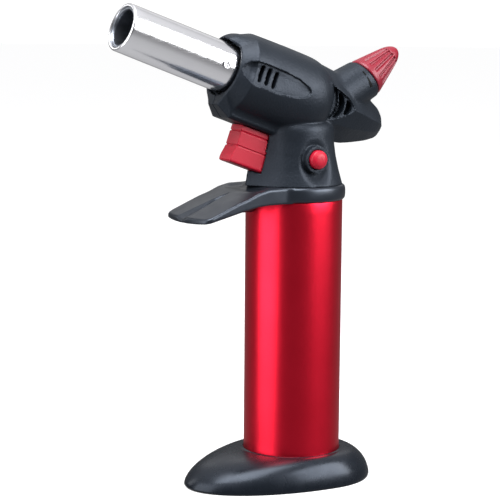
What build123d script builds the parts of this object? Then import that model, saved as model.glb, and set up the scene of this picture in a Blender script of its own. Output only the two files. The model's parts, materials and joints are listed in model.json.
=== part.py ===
from build123d import *
import os
from math import cos, radians, sin

# A hand torch run on butane. Millimetres, +Z up, standing on z = 0.
# The tank's axis is the Z axis, the muzzle points towards -X, and y = 0 is the plane of symmetry.

# Tank and base
TANK_R = 21.0
TANK_TOP = 122.9
SLEEVE_WALL = 0.9
SEAT_Z = 4.0
BASE_TOP = 12.6
BASE_FRONT = -52.0
BASE_REAR = 35.5
BASE_HALF_WIDTH = 29.4
BASE_EDGE_R = 7.0
PORT_R = 5.0

# Finger guard on top of the tank
GUARD_TOP = 129.5
GUARD_R = 22.1
GUARD_BORE_R = 16.0
WING_HALF_WIDTH = 17.25
WING_TIP = -55.5

# Barrel
BARREL_TILT = 19.6
MUZZLE = Vector(-84.5, 0, 196.97)
BARREL_R = 10.2
BARREL_REAR_R = 10.6
BARREL_WALL = 0.9
BARREL_LENGTH = 66.0
LINER_R = 7.4
LINER_WALL = 0.7
LINER_LENGTH = 43.0

# Casing
CASING_WALL = 2.2
NOSE_S = 51.3
NOSE_R = 13.2
NOSE_CREASE = (56.9, 17.5)
NOSE_BORE_R = 11.7
HEAD_R = 18.2
HEAD_END_S = 86.0
HEAD_END_LENGTH = 17.5
KEEL_HALF_WIDTH = 7.3
NECK_TOP = 156.5

# Gas knob
KNOB_TILT = 36.0
KNOB_BASE = Vector(35.7, 0, 173.65)
KNOB_R = 8.9
KNOB_LENGTH = 22.2
KNOB_GAP = 0.4
KNOB_FLUTES = 15
SPINDLE_R = 2.4

# Trigger, lever and outlet valve
TRIGGER_HALF_WIDTH = 4.7
TRIGGER_TRAVEL = 5.5
TRIGGER_GAP = 0.4
TRIGGER_TOP_V = -20.1
TRIGGER_BOTTOM_V = -36.4
STEM_LIFT = 1.1
LEVER_PIVOT = Vector(8.5, 0, 134.85)
PIN_R = 1.0
PIN_HALF_LENGTH = 8.6
PIN_BOSS_R = 2.3
RUNNING_GAP = 0.05
# The lever's underside below its pivot, its front end, and half the gap between the trigger's prongs
LEVER_UNDERSIDE = 0.65
NOSE_X = -10.0
NOSE_GAP = 0.35
PRONG_GAP = 3.4

# Lock button
BUTTON_CENTRE = Vector(-0.7, -21.8, 141.1)
BUTTON_R = 4.0
BUTTON_TRAVEL = 2.5
BUTTON_DEPTH = 5.2
BUTTON_STEM_R = 2.0
BUTTON_STEM_END = 13.4
GUIDE_R = 6.4

# Directions and working planes. On BARREL, x runs back along the barrel and y runs up from its axis.
BACK = Vector(cos(radians(BARREL_TILT)), 0, -sin(radians(BARREL_TILT)))
UP = Vector(sin(radians(BARREL_TILT)), 0, cos(radians(BARREL_TILT)))
BARREL = Plane(origin=MUZZLE, x_dir=BACK, z_dir=(0, -1, 0))
BARREL_TOP = Plane(origin=MUZZLE, x_dir=BACK, z_dir=UP)
KNOB_OUT = Vector(cos(radians(KNOB_TILT)), 0, sin(radians(KNOB_TILT)))
KNOB = Plane(origin=KNOB_BASE, x_dir=KNOB_OUT, z_dir=(0, -1, 0))
UPRIGHT = Plane(origin=(0, 0, 0), x_dir=(0, 0, 1), z_dir=(0, 1, 0))
SIDE = Plane(origin=(0, 0, 0), x_dir=(1, 0, 0), z_dir=(0, -1, 0))


def at(s, v, y=0.0):
    """The point s back from the muzzle, v above the barrel's axis and y across."""
    return MUZZLE + BACK * s + UP * v + Vector(0, y, 0)


def turned(plane, *outline):
    """The ring made by turning a closed outline of (x, radius) points about the plane's x axis."""
    face = plane * make_face(Polyline(*outline, close=True))
    return revolve(face, Axis(plane.origin, plane.x_dir))


def prism(plane, half_width, *outline):
    """A closed outline drawn on a plane and extended to both sides of it."""
    face = plane * make_face(Polyline(*outline, close=True))
    return extrude(face, amount=half_width, both=True)


def rod(start, end, radius):
    """A round bar from one point to another."""
    start = Vector(start)
    run = Vector(end) - start
    bar = Cylinder(radius, run.length, align=(Align.CENTER, Align.CENTER, Align.MIN))
    return Plane(origin=start, z_dir=run) * bar


def pipe(start, end, outer, inner):
    """A round tube from one point to another."""
    return rod(start, end, outer) - rod(start, end, inner)


def washer(z_low, z_high, outer, inner):
    """A flat ring about the Z axis."""
    return pipe((0, 0, z_low), (0, 0, z_high), outer, inner)


def bent_wire(points, corners, radius):
    """A round wire along straight runs joined by arcs."""
    path = FilletPolyline(*points, radius=corners)
    start = Plane(origin=path @ 0, z_dir=path % 0)
    return sweep(start * Circle(radius), path=path)


def coil_spring(start, direction, coil_r, wire_r, length, turns):
    """A compression spring that starts at a point and runs along a direction."""
    helix = Helix(pitch=(length - 2 * wire_r) / turns, height=length - 2 * wire_r, radius=coil_r)
    end_face = Plane(origin=helix @ 0, z_dir=helix % 0) * Circle(wire_r)
    wire = sweep(end_face, path=helix, is_frenet=True)
    place = Plane(origin=Vector(start) + Vector(direction) * wire_r, z_dir=direction)
    return place * wire


def mirrored_in_y(shape):
    return mirror(shape, about=Plane.XZ)


def both_sides(shape):
    return shape + mirrored_in_y(shape)


# ---------------------------------------------------------------- base and tank


def base_outline():
    """An oval, wide and round behind and narrower in front."""
    shoulder = (-40.0, 18.4)
    widest = (4.0, BASE_HALF_WIDTH)
    nose = ThreePointArc((shoulder[0], -shoulder[1]), (BASE_FRONT, 0), shoulder)
    flank = Spline(shoulder, (-20.0, 26.2), widest, tangents=[nose % 1, Vector(1, 0, 0)])
    back = ThreePointArc(widest, (BASE_REAR, 0), (widest[0], -widest[1]))
    other_flank = mirror(flank, about=Plane.XZ)
    return make_face([nose, flank, back, other_flank])


def make_base():
    """The foot: a solid domed oval with a seat for the tank and a port for filling."""
    seat_ring = Cylinder(TANK_R + 1.6, BASE_TOP + 0.7, align=(Align.CENTER, Align.CENTER, Align.MIN))
    foot = extrude(base_outline(), amount=BASE_TOP)
    foot = fillet(foot.faces().sort_by(Axis.Z)[-1].edges(), BASE_EDGE_R)
    seat = Pos(0, 0, SEAT_Z) * Cylinder(TANK_R, 20, align=(Align.CENTER, Align.CENTER, Align.MIN))
    return foot + seat_ring - seat - rod((0, 0, -1), (0, 0, SEAT_Z + 1), PORT_R)


TANK_IN_R = TANK_R - SLEEVE_WALL - 0.2
TANK_WALL = 1.2
TANK_TOP_Z = 119.5
CAP_TOP_Z = 122.7
SEAL_Z = 117.8


def make_tank_sleeve():
    """The coloured tube that is held in the hand."""
    return washer(SEAT_Z, TANK_TOP, TANK_R, TANK_R - SLEEVE_WALL)


def make_fuel_tank():
    """The pressure vessel inside the sleeve, open at the top and bored for the filling valve."""
    shell = rod((0, 0, SEAT_Z), (0, 0, TANK_TOP_Z), TANK_IN_R)
    hollow = rod((0, 0, SEAT_Z + TANK_WALL), (0, 0, TANK_TOP_Z + 1), TANK_IN_R - TANK_WALL)
    return shell - hollow - rod((0, 0, 0), (0, 0, SEAT_Z + 2), REFILL_R)


def make_tank_cap():
    """The lid of the tank: a flange on top, and a plug with a groove for the seal."""
    plug_r = TANK_IN_R - TANK_WALL - 0.1
    cap = rod((0, 0, 117), (0, 0, TANK_TOP_Z), plug_r)
    cap = cap + rod((0, 0, TANK_TOP_Z), (0, 0, CAP_TOP_Z), TANK_IN_R)
    groove = washer(SEAL_Z, SEAL_Z + 1, plug_r + 1, plug_r - 0.8)
    return cap - groove - rod((0, 0, 116), (0, 0, 124), OUTLET_R)


def make_tank_seal():
    plug_r = TANK_IN_R - TANK_WALL - 0.1
    return washer(SEAL_Z, SEAL_Z + 1, plug_r + 0.08, plug_r - 0.8)


# ---------------------------------------------------------------- valves

REFILL_R = 4.0
REFILL_STEM_R = 1.2


def make_refill_valve_body():
    """A brass body with a guide for the stem below, a chamber above it and a side port."""
    body = rod((0, 0, SEAT_Z + 0.2), (0, 0, 16), REFILL_R)
    body = body + rod((0, 0, SEAT_Z + TANK_WALL), (0, 0, 6.8), 5.6)
    guide = rod((0, 0, 3), (0, 0, 8), REFILL_STEM_R + RUNNING_GAP)
    chamber = rod((0, 0, 7), (0, 0, 13.4), 2.8)
    side_port = rod((0, 0, 12.4), (6, 0, 12.4), 0.6)
    return body - guide - chamber - side_port


def make_refill_valve_stem():
    """Sits just inside the mouth of the port, and is pushed in by a filling nozzle."""
    stem = rod((0, 0, 4.6), (0, 0, 8.4), REFILL_STEM_R)
    stem = stem + rod((0, 0, 8.3), (0, 0, 9.3), 2.3)
    return stem + rod((0, 0, 9.2), (0, 0, 11), 1.0)


def make_refill_valve_seal():
    return washer(7, 7.9, 2.8, 1.6)


def make_refill_valve_spring():
    return coil_spring((0, 0, 9.3), (0, 0, 1), 1.9, 0.25, 4.1, 4)


OUTLET_R = 5.0
OUTLET_TOP = 127.4
STEM_R = 1.5
HEAD_LOW = 136.0
HOSE_Z = 124.9


def make_outlet_valve_body():
    """Stands in the tank's lid, with a spigot on one side for the hose."""
    body = rod((0, 0, 107), (0, 0, CAP_TOP_Z), OUTLET_R)
    body = body + rod((0, 0, CAP_TOP_Z), (0, 0, OUTLET_TOP), 6.4)
    body = body + rod((5, 0, HOSE_Z), (9.6, 0, HOSE_Z), 1.2)
    inlet = rod((0, 0, 106), (0, 0, 112), 0.8)
    chamber = rod((0, 0, 111), (0, 0, 123.4), 3.3)
    guide = rod((0, 0, 123), (0, 0, 129), STEM_R + RUNNING_GAP)
    outlet = rod((2, 0, 122.4), (6, 0, HOSE_Z), 0.5)
    spigot = rod((5, 0, HOSE_Z), (12, 0, HOSE_Z), 0.6)
    return body - inlet - chamber - guide - outlet - spigot


def make_outlet_valve_stem():
    """Lifted by the lever to let gas out of the tank."""
    stem = rod((0, 0, 112.9), (0, 0, HEAD_LOW + 1.2), STEM_R)
    stem = stem + rod((0, 0, 112.9), (0, 0, 114.6), 2.9)
    return stem + rod((0, 0, HEAD_LOW), (0, 0, HEAD_LOW + 1.2), 3.0)


def make_outlet_valve_seal():
    return washer(111, 112.5, 3.3, 1.0)


def make_outlet_valve_spring():
    return coil_spring((0, 0, 114.6), (0, 0, 1), 2.4, 0.3, 8.8, 6)


def make_fuel_wick():
    """Draws fuel up from near the bottom of the tank."""
    return rod((0, 0, 24), (0, 0, 107), 1.6)


def make_valve_lever():
    """Two arms either side of the stem, with tabs below its head and a cross bar at the pivot."""
    arm_low = LEVER_PIVOT.Z - LEVER_UNDERSIDE
    arm_high = LEVER_PIVOT.Z + 0.45
    from_front = (Align.MIN, Align.CENTER, Align.CENTER)
    plate = Pos(NOSE_X, 0, (arm_low + arm_high) / 2) * Box(
        20.6, 2 * TRIGGER_HALF_WIDTH, arm_high - arm_low, align=from_front
    )
    front_gap = Pos(NOSE_X - 1, 0, LEVER_PIVOT.Z) * Box(9.4, 2 * PRONG_GAP, 6, align=from_front)
    stem_gap = Pos(-2, 0, LEVER_PIVOT.Z) * Box(7.5, 3.9, 6, align=from_front)
    half = Vector(0, TRIGGER_HALF_WIDTH, 0)
    hub = rod(LEVER_PIVOT - half, LEVER_PIVOT + half, 2.1)
    hole = rod(LEVER_PIVOT - half * 2, LEVER_PIVOT + half * 2, PIN_R + RUNNING_GAP)
    return plate - front_gap - stem_gap + hub - hole


def make_lever_pin():
    half = Vector(0, PIN_HALF_LENGTH, 0)
    return rod(LEVER_PIVOT - half, LEVER_PIVOT + half, PIN_R)


# ---------------------------------------------------------------- finger guard


def make_finger_guard():
    """A collar on the tank with a wide wing in front, which turns heat and fingers away."""
    collar = rod((0, 0, TANK_TOP), (0, 0, GUARD_TOP), GUARD_R)
    collar = fillet(collar.edges().sort_by(Axis.Z)[-1], 1.2)
    wing = prism(
        SIDE, WING_HALF_WIDTH,
        (0, TANK_TOP), (0, 129.3), (-23.4, 129.1), (-33.2, 125.9), (-47.7, 120.7), (WING_TIP, 117.6),
        (WING_TIP, 115.9), (-45.3, 118.5), (-32.2, 121.7), (-23.4, 122.7),
    )
    tip = ThreePointArc((-52.5, WING_HALF_WIDTH), (WING_TIP, 0), (-52.5, -WING_HALF_WIDTH))
    sides = Polyline(
        (-52.5, -WING_HALF_WIDTH), (0, -WING_HALF_WIDTH), (0, WING_HALF_WIDTH), (-52.5, WING_HALF_WIDTH)
    )
    plan = Pos(0, 0, 100) * extrude(make_face([tip, sides]), amount=40)
    rib = prism(SIDE, 3.0, (-20, 117.9), (-30, 118.6), (-44, 117.8), (-44, 119.5), (-30, 123), (-20, 123.5))
    along_wing = Plane(origin=(-30, 0, 127.2), x_dir=(0, 1, 0), z_dir=(0.94, 0, 0.34))
    groove = prism(along_wing, 60, (-2, 2), (0, -1.0), (2, 2))
    groove = groove & Pos(-30, 0, 120) * Box(60, 20, 40, align=(Align.MAX, Align.CENTER, Align.CENTER))
    guard = collar + (wing & plan) + rib - groove
    guard = guard - rod((0, 0, 100), (0, 0, TANK_TOP), TANK_R + 0.05)
    return guard - rod((0, 0, 100), (0, 0, 140), GUARD_BORE_R)


# ---------------------------------------------------------------- casing


def head_form(inset):
    """The round body around the barrel's root, with a domed back."""
    top = HEAD_R - inset
    end = HEAD_END_LENGTH - inset
    front = Line((NOSE_S, 0), (NOSE_S, NOSE_R - inset))
    crease = (NOSE_CREASE[0], NOSE_CREASE[1] - inset)
    cheek = Line((NOSE_S, NOSE_R - inset), crease)
    crown = Spline(crease, (70.0, 18.0 - inset), (HEAD_END_S, top), tangents=[(1, 0.06), (1, 0)])
    back = EllipticalCenterArc((HEAD_END_S, 0), end, top, arc_size=90)
    axis = Line((HEAD_END_S + end, 0), (NOSE_S, 0))
    face = BARREL * make_face([front, cheek, crown, back, axis])
    return revolve(face, Axis(BARREL.origin, BARREL.x_dir))


def keel_form(inset):
    """The straight-sided box below the head, above the trigger."""
    low = -19.6 + inset
    half = KEEL_HALF_WIDTH - inset
    front = NOSE_S + inset
    side_view = prism(
        BARREL, half, (front, -8), (front, -15.9 + inset), (56.3 + inset / 2, low), (92, low), (92, -8),
    )
    top_view = prism(
        BARREL_TOP, 40, (front, 4.6 - inset / 2), (front + 4.4, half), (92, half),
        (92, -half), (front + 4.4, -half), (front, inset / 2 - 4.6),
    )
    return side_view & top_view


def neck_form(inset, bottom):
    """The flared column that stands on the guard, with a narrow ridge in front."""
    column = turned(
        UPRIGHT, (bottom, 0), (bottom, 20.8 - inset), (132, 20.0 - inset),
        (136, 19.0 - inset), (142, 17.7 - inset), (148, 16.9 - inset), (NECK_TOP - inset, 16.5 - inset),
        (NECK_TOP - inset, 0),
    )
    ridge = prism(
        SIDE, 5.4 - inset, (0, bottom), (-24.7 + inset, bottom), (-24.7 + inset, 131),
        (-23.8 + inset, 136), (-18.5 + inset, 148.5), (-17.0 + inset, 153), (0, 153),
    )
    return column + ridge


TAIL_SECTIONS = (
    # s, top half width, top, crease half width, crease height, bottom half width, bottom
    (96.0, 6.0, 17.7, 16.4, 3.9, 8.0, -15.0),
    (118.0, 4.5, 13.6, 11.5, 3.0, 5.0, -11.4),
    (131.0, 3.0, 9.5, 6.4, 2.4, 3.0, -5.9),
    (137.2, 0.8, 3.6, 1.6, 2.1, 0.8, 0.4),
)


def tail_form(inset):
    """The faceted wedge behind the head, creased along both sides."""
    faces = []
    for s, top_y, top, side_y, side, low_y, low in TAIL_SECTIONS[: 4 if inset == 0 else 3]:
        plane = Plane(origin=at(s, 0), x_dir=(0, 1, 0), z_dir=BACK)
        right = [(top_y - inset / 2, top - inset), (side_y - inset, side), (low_y - inset / 2, low + inset)]
        left = [(-y, v) for y, v in reversed(right)]
        faces.append(plane * make_face(Polyline(*right, *left, close=True)))
    return loft(faces, ruled=True)


def boss_form(inset):
    """The cone that carries the gas knob."""
    return turned(
        KNOB, (-inset, 0), (-inset, 8.9 - inset), (-0.6 - inset, 9.4 - inset),
        (-11, 11.8 - inset), (-19, 12.4 - inset), (-19, 0),
    )


REGULATOR_R = 5.5
SLOT_SIZE = (1.4, 7.5)
SLOT_CENTRES = ((60.2, 1.1), (63.7, 0.8), (67.2, 0.5))
SCREW_PLACES = ((57.0, -14.6), (88.0, 12.6), (121.0, 0.5))
SCREW_HEAD_R = 2.3
SCREW_R = 1.1
SCREW_BOSS_R = 2.6
# How far out each head's top sits: just under the casing's surface at its place.
SCREW_HEAD_Y = (5.6, 10.6, 7.4)
SCREW_HEAD_HEIGHT = 1.6
SCREW_END_Y = -4.5


def trigger_room():
    """The slot in the neck, and the room behind it, that the trigger slides in."""
    half = TRIGGER_HALF_WIDTH + TRIGGER_GAP
    return prism(
        BARREL, half, (60, TRIGGER_TOP_V + TRIGGER_GAP - 0.1), (60, TRIGGER_BOTTOM_V - TRIGGER_GAP),
        (92, TRIGGER_BOTTOM_V - TRIGGER_GAP), (92, TRIGGER_TOP_V + TRIGGER_GAP - 0.1),
    )


def make_casing():
    """The whole moulded shell before it is cut in two along y = 0."""
    button = BUTTON_CENTRE
    guide_y = button.Y + 9.8
    outer = head_form(0) + keel_form(0) + neck_form(0, GUARD_TOP) + tail_form(0) + boss_form(0)
    inner = (
        head_form(CASING_WALL) + keel_form(CASING_WALL) + neck_form(CASING_WALL, GUARD_TOP - 1)
        + tail_form(CASING_WALL) + boss_form(CASING_WALL)
    )
    shell = outer - inner
    posts = both_sides(rod(LEVER_PIVOT + Vector(0, 5.1, 0), LEVER_PIVOT + Vector(0, 17, 0), PIN_BOSS_R))
    for s, v in SCREW_PLACES:
        posts = posts + rod(at(s, v, -17), at(s, v, 17), SCREW_BOSS_R)
    posts = posts - rod(at(40, 0), at(BARREL_LENGTH + 8, 0), NOSE_BORE_R)
    button_guide = pipe((button.X, guide_y, button.Z), (button.X, -17, button.Z), GUIDE_R, 4.9)
    guide_floor = pipe((button.X, guide_y, button.Z), (button.X, guide_y - 1, button.Z), GUIDE_R, 2.35)
    shell = shell + (posts & outer) + (button_guide & outer) + (guide_floor & outer)
    shell = shell - rod(at(40, 0), at(BARREL_LENGTH, 0), NOSE_BORE_R)
    shell = shell - rod(KNOB_BASE - KNOB_OUT * 8, KNOB_BASE + KNOB_OUT, REGULATOR_R)
    shell = shell - trigger_room()
    button_bore_end = BUTTON_DEPTH + BUTTON_TRAVEL + 1.1
    shell = shell - rod(button - Vector(0, 4, 0), button + Vector(0, button_bore_end, 0), BUTTON_R + 0.35)
    shell = shell - make_lever_pin()
    for s, v in SLOT_CENTRES:
        slot = BARREL * Pos(s, v, 0) * Box(SLOT_SIZE[0], SLOT_SIZE[1], 60)
        shell = shell - slot
    for (s, v), head_y in zip(SCREW_PLACES, SCREW_HEAD_Y):
        shell = shell - rod(at(s, v, head_y - SCREW_HEAD_HEIGHT), at(s, v, 30), SCREW_HEAD_R)
        shell = shell - rod(at(s, v, SCREW_END_Y), at(s, v, head_y), SCREW_R)
    return shell


def half_of(shell, side):
    """The half of the casing on one side of y = 0."""
    block = Box(200, 60, 200, align=(Align.CENTER, Align.MIN, Align.CENTER))
    if side < 0:
        block = mirrored_in_y(block)
    return shell & (Pos(0, 0, 150) * block)


def make_casing_screws():
    screws = []
    for (s, v), head_y in zip(SCREW_PLACES, SCREW_HEAD_Y):
        neck_y = head_y - SCREW_HEAD_HEIGHT
        head = rod(at(s, v, neck_y), at(s, v, head_y), SCREW_HEAD_R)
        shank = rod(at(s, v, SCREW_END_Y), at(s, v, neck_y), SCREW_R)
        cross = BARREL * Pos(s, v, -head_y) * (Box(2.6, 0.6, 1.4) + Box(0.6, 2.6, 1.4))
        screws.append(head + shank - cross)
    return Compound(children=[solid for screw in screws for solid in screw.solids()])


# ---------------------------------------------------------------- burner

FLANGE_S = (43.0, 50.0)
MIXER_R = 5.4
ELECTRODE_V = 8.45
ELECTRODE_R = 0.32
INSULATOR_R = 1.0
SCREW_S = 46.4
TUBE_SCREW_R = 0.9
TUBE_SCREW_HEAD = (1.7, 0.8)
SCREW_SEAT_Y = BARREL_R + (BARREL_REAR_R - BARREL_R) * SCREW_S / BARREL_LENGTH + 0.02


def make_burner_tube():
    """The polished outer tube, its mouth rolled inwards."""
    inner = BARREL_R - BARREL_WALL
    tube = turned(
        BARREL, (1.0, BARREL_R), (0.3, BARREL_R - 0.3), (0.0, BARREL_R - 0.9), (0.0, 8.95), (0.7, 8.95),
        (1.2, inner), (BARREL_LENGTH, BARREL_REAR_R - BARREL_WALL), (BARREL_LENGTH, BARREL_REAR_R),
    )
    return tube - rod(at(SCREW_S, 0, -12), at(SCREW_S, 0, 12), TUBE_SCREW_R)


def make_burner_liner():
    """The inner flame tube, with a narrow rim at the muzzle."""
    outer = LINER_R + LINER_WALL
    liner = turned(
        BARREL, (0.8, LINER_R), (0.5, LINER_R + 0.3), (0.5, 8.9), (1.2, 8.9), (1.2, outer),
        (LINER_LENGTH, outer), (LINER_LENGTH, LINER_R),
    )
    notch = BARREL * Pos(2, LINER_R + 0.8, 0) * Box(6, 2.6, 2.6)
    return liner - notch


def make_flame_holder():
    """A thick disc of small holes that the flame burns on."""
    disc = rod(at(31, 0), at(35, 0), LINER_R)
    rings = ((0.0, 1), (2.6, 6), (5.2, 12))
    for ring_r, count in rings:
        for index in range(count):
            turn = radians(360 / count * index)
            v = ring_r * cos(turn)
            y = ring_r * sin(turn)
            disc = disc - rod(at(30, v, y), at(36, v, y), 0.8)
    return disc


def make_burner_mount():
    """Holds the tubes and mixes gas with air: a flange, a neck and four air holes."""
    flange_r = BARREL_REAR_R - BARREL_WALL - 0.2
    mount = turned(
        BARREL, (FLANGE_S[0], 3.6), (FLANGE_S[0], flange_r), (FLANGE_S[1], flange_r),
        (FLANGE_S[1], MIXER_R), (BARREL_LENGTH + 6, MIXER_R), (BARREL_LENGTH + 6, 3.0),
        (BARREL_LENGTH, 3.0), (BARREL_LENGTH - 6, 3.6),
    )
    mount = mount - rod(at(57, -9), at(57, 9), 1.5) - rod(at(57, 0, -9), at(57, 0, 9), 1.5)
    mount = mount - rod(at(42, ELECTRODE_V), at(51, ELECTRODE_V), INSULATOR_R)
    return mount - rod(at(SCREW_S, 0, -12), at(SCREW_S, 0, 12), TUBE_SCREW_R)


def make_gas_jet():
    """A drilled brass nipple screwed into the back of the mount."""
    jet = turned(
        BARREL, (62, 0.25), (62, 1.6), (BARREL_LENGTH, 3.0), (72, 3.0), (72, 4.2), (74.5, 4.2), (74.5, 1.3),
        (78, 1.3), (78, 0.7), (64, 0.7),
    )
    return jet


def make_barrel_screws():
    """Two short screws that pin the tube to the burner mount."""
    head_r, head_height = TUBE_SCREW_HEAD
    top_y = SCREW_SEAT_Y + head_height
    screws = []
    for side in (-1, 1):
        head = rod(at(SCREW_S, 0, side * SCREW_SEAT_Y), at(SCREW_S, 0, side * top_y), head_r)
        cross = BARREL * Pos(SCREW_S, 0, -side * top_y) * (Box(2.2, 0.5, 0.9) + Box(0.5, 2.2, 0.9))
        shank = rod(at(SCREW_S, 0, side * 6), at(SCREW_S, 0, side * SCREW_SEAT_Y), TUBE_SCREW_R)
        screws.append(head + shank - cross)
    return Compound(children=[solid for screw in screws for solid in screw.solids()])


def make_igniter_electrode():
    """The spark wire between the two tubes, ending just inside the muzzle."""
    return rod(at(2.2, ELECTRODE_V), at(62, ELECTRODE_V), ELECTRODE_R)


def make_electrode_insulator():
    return pipe(at(43.4, ELECTRODE_V), at(60, ELECTRODE_V), INSULATOR_R, ELECTRODE_R)


def make_ignition_lead():
    """From the back of the spark wire round the inside of the casing to the spark unit."""
    points = [
        at(62, ELECTRODE_V), at(68, ELECTRODE_V), at(78, 9.6, 5), at(90, 7, 7.6), at(99, -3, 7.4),
        at(105.5, -12, 5.2), at(PIEZO_TAIL_S + 4.2, PIEZO_TAIL_V, 2.4), at(PIEZO_TAIL_S, PIEZO_TAIL_V, 2.4),
    ]
    return bent_wire([tuple(p) for p in points], [4, 4, 5, 5, 4, 2.0], 0.7)


# ---------------------------------------------------------------- gas knob and regulator


def make_regulator_body():
    """The needle valve's brass body, on the knob's axis inside the boss."""
    body = turned(
        KNOB, (-26, 1.2), (-26, REGULATOR_R), (-1.2, REGULATOR_R), (-1.2, SPINDLE_R + RUNNING_GAP),
        (-11, SPINDLE_R + RUNNING_GAP), (-11, 3.9), (-12.2, 3.9), (-12.2, SPINDLE_R + RUNNING_GAP),
        (-20, SPINDLE_R + RUNNING_GAP), (-22, 1.2),
    )
    inlet = rod(KNOB_BASE - KNOB_OUT * 29.5, KNOB_BASE - KNOB_OUT * 25.9, 1.2)
    inlet = inlet - rod(KNOB_BASE - KNOB_OUT * 30, KNOB_BASE - KNOB_OUT * 25, 0.6)
    outlet_start = KNOB_BASE - KNOB_OUT * 21
    outlet = rod(outlet_start + OUTLET_WAY * 5.2, outlet_start + OUTLET_WAY * 8, 1.2)
    outlet_bore = rod(outlet_start, outlet_start + OUTLET_WAY * 9, 0.6)
    return body + inlet + outlet - outlet_bore


# The regulator's outlet points forward and up, square to the knob's axis.
OUTLET_WAY = Vector(-sin(radians(KNOB_TILT)), 0, cos(radians(KNOB_TILT)))


def make_regulator_seal():
    return pipe(KNOB_BASE - KNOB_OUT * 12.2, KNOB_BASE - KNOB_OUT * 11, 3.9, 2.75)


def make_needle_spindle():
    """Turned by the knob, with a needle point that closes on the regulator's inlet."""
    return turned(KNOB, (-22.4, 0), (-19.2, SPINDLE_R - 1.0), (-19.0, SPINDLE_R), (12, SPINDLE_R), (12, 0))


def make_gas_knob():
    """A fluted pointed cap."""
    rim = Polyline((KNOB_GAP, 0), (KNOB_GAP, KNOB_R - 0.3), (KNOB_GAP + 0.5, KNOB_R), (1.9, KNOB_R))
    side = ((1.9, KNOB_R), (7.4, 7.1), (12.6, 5.45), (17.8, 3.85), (KNOB_LENGTH, 0))
    ogive = Spline(*side, tangents=[(1, -0.25), (0, -1)])
    axis = Line((KNOB_LENGTH, 0), (KNOB_GAP, 0))
    knob = revolve(KNOB * make_face([rim, ogive, axis]), Axis(KNOB.origin, KNOB.x_dir))
    flute_start = KNOB_BASE + KNOB_OUT * 2.6 + OUTLET_WAY * 9.3
    flute_end = KNOB_BASE + KNOB_OUT * 17.0 + OUTLET_WAY * 5.0
    flute = rod(flute_start, flute_end, 1.0)
    for index in range(KNOB_FLUTES):
        knob = knob - flute.rotate(Axis(KNOB.origin, KNOB.x_dir), 360 / KNOB_FLUTES * index)
    return knob - rod(KNOB_BASE, KNOB_BASE + KNOB_OUT * 12, SPINDLE_R)


def make_gas_hose():
    """From the outlet valve's spigot up the back of the neck to the regulator's inlet."""
    end = KNOB_BASE - KNOB_OUT * 29.5
    points = [(9.6, 0, HOSE_Z), (13.4, 0, HOSE_Z), (13.4, 0, 139.5), tuple(end - KNOB_OUT * 5.6), tuple(end)]
    return bent_wire(points, [2.2, 12, 2.6], 1.2)


def make_jet_feed_pipe():
    """From the regulator's outlet forward to the gas jet."""
    start = KNOB_BASE - KNOB_OUT * 21 + OUTLET_WAY * 8
    points = [tuple(start), tuple(start + OUTLET_WAY * 2.6), tuple(at(84, 0)), tuple(at(78, 0))]
    return bent_wire(points, [2.2, 4], 1.2)


# ---------------------------------------------------------------- trigger, spark unit and lock button

PIEZO_S = (86.0, 97.0)
PIEZO_V = -22.8
PIEZO_HALF = 3.7
PIEZO_TAIL_S = 105.0
PIEZO_TAIL_V = -21.2
PIEZO_TAIL_HALF = 2.1
PLUNGER_R = 2.4


def make_trigger():
    """The finger pad, with two wedge-shaped prongs that raise the lever as it slides back."""
    pad = prism(
        BARREL, TRIGGER_HALF_WIDTH, (66.2, TRIGGER_TOP_V), (66.0, -28.8), (65.0, -34.0),
        (64.9, TRIGGER_BOTTOM_V), (84, TRIGGER_BOTTOM_V), (84, -27.2), (80, -27.2), (80, TRIGGER_TOP_V),
    )
    lever_angle = STEM_LIFT / LEVER_PIVOT.X
    nose_lift = lever_angle * (LEVER_PIVOT.X - NOSE_X)
    slope = (nose_lift + TRIGGER_TRAVEL * -BACK.Z) / (TRIGGER_TRAVEL * BACK.X)
    nose_z = LEVER_PIVOT.Z - LEVER_UNDERSIDE - NOSE_GAP
    front_x = -16.5
    tip_x = -6.8
    wedge = prism(
        SIDE, TRIGGER_HALF_WIDTH, (front_x, nose_z + slope * (NOSE_X - front_x)),
        (tip_x, nose_z + slope * (NOSE_X - tip_x)), (tip_x - 0.3, 131.3), (front_x, 134.6),
    )
    channel = Pos(-14.2, 0, 135) * Box(20, 2 * PRONG_GAP, 12, align=(Align.MIN, Align.CENTER, Align.CENTER))
    return pad + (wedge - channel)


def box_outline(s_start, s_end, v_middle, half_height):
    low = v_middle - half_height
    high = v_middle + half_height
    return (s_start, low), (s_end, low), (s_end, high), (s_start, high)


def make_piezo_body():
    """The spark unit: a striker in the front block, and the crystal's narrower end behind it."""
    block = prism(BARREL, 4.2, *box_outline(PIEZO_S[0], PIEZO_S[1], PIEZO_V, PIEZO_HALF))
    tail = prism(BARREL, 4.2, *box_outline(PIEZO_S[1], PIEZO_TAIL_S, PIEZO_TAIL_V, PIEZO_TAIL_HALF))
    return block + tail - rod(at(80, PIEZO_V), at(95.8, PIEZO_V), PLUNGER_R + 0.35)


def make_piezo_plunger():
    """Pushed into the spark unit by the trigger."""
    return rod(at(80, PIEZO_V), at(89.8, PIEZO_V), PLUNGER_R)


def make_trigger_spring():
    return coil_spring(at(84.1, -29.6), BACK, 1.7, 0.3, 9.6, 6)


def make_lock_button():
    """A small domed button on a stem."""
    across = Plane(origin=BUTTON_CENTRE, x_dir=(0, 1, 0), z_dir=(0, 0, 1))
    return turned(
        across, (0, 0), (0.15, 1.8), (0.6, 3.2), (1.3, BUTTON_R), (BUTTON_DEPTH, BUTTON_R),
        (BUTTON_DEPTH, BUTTON_STEM_R), (BUTTON_STEM_END, BUTTON_STEM_R), (BUTTON_STEM_END, 0),
    )


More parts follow.
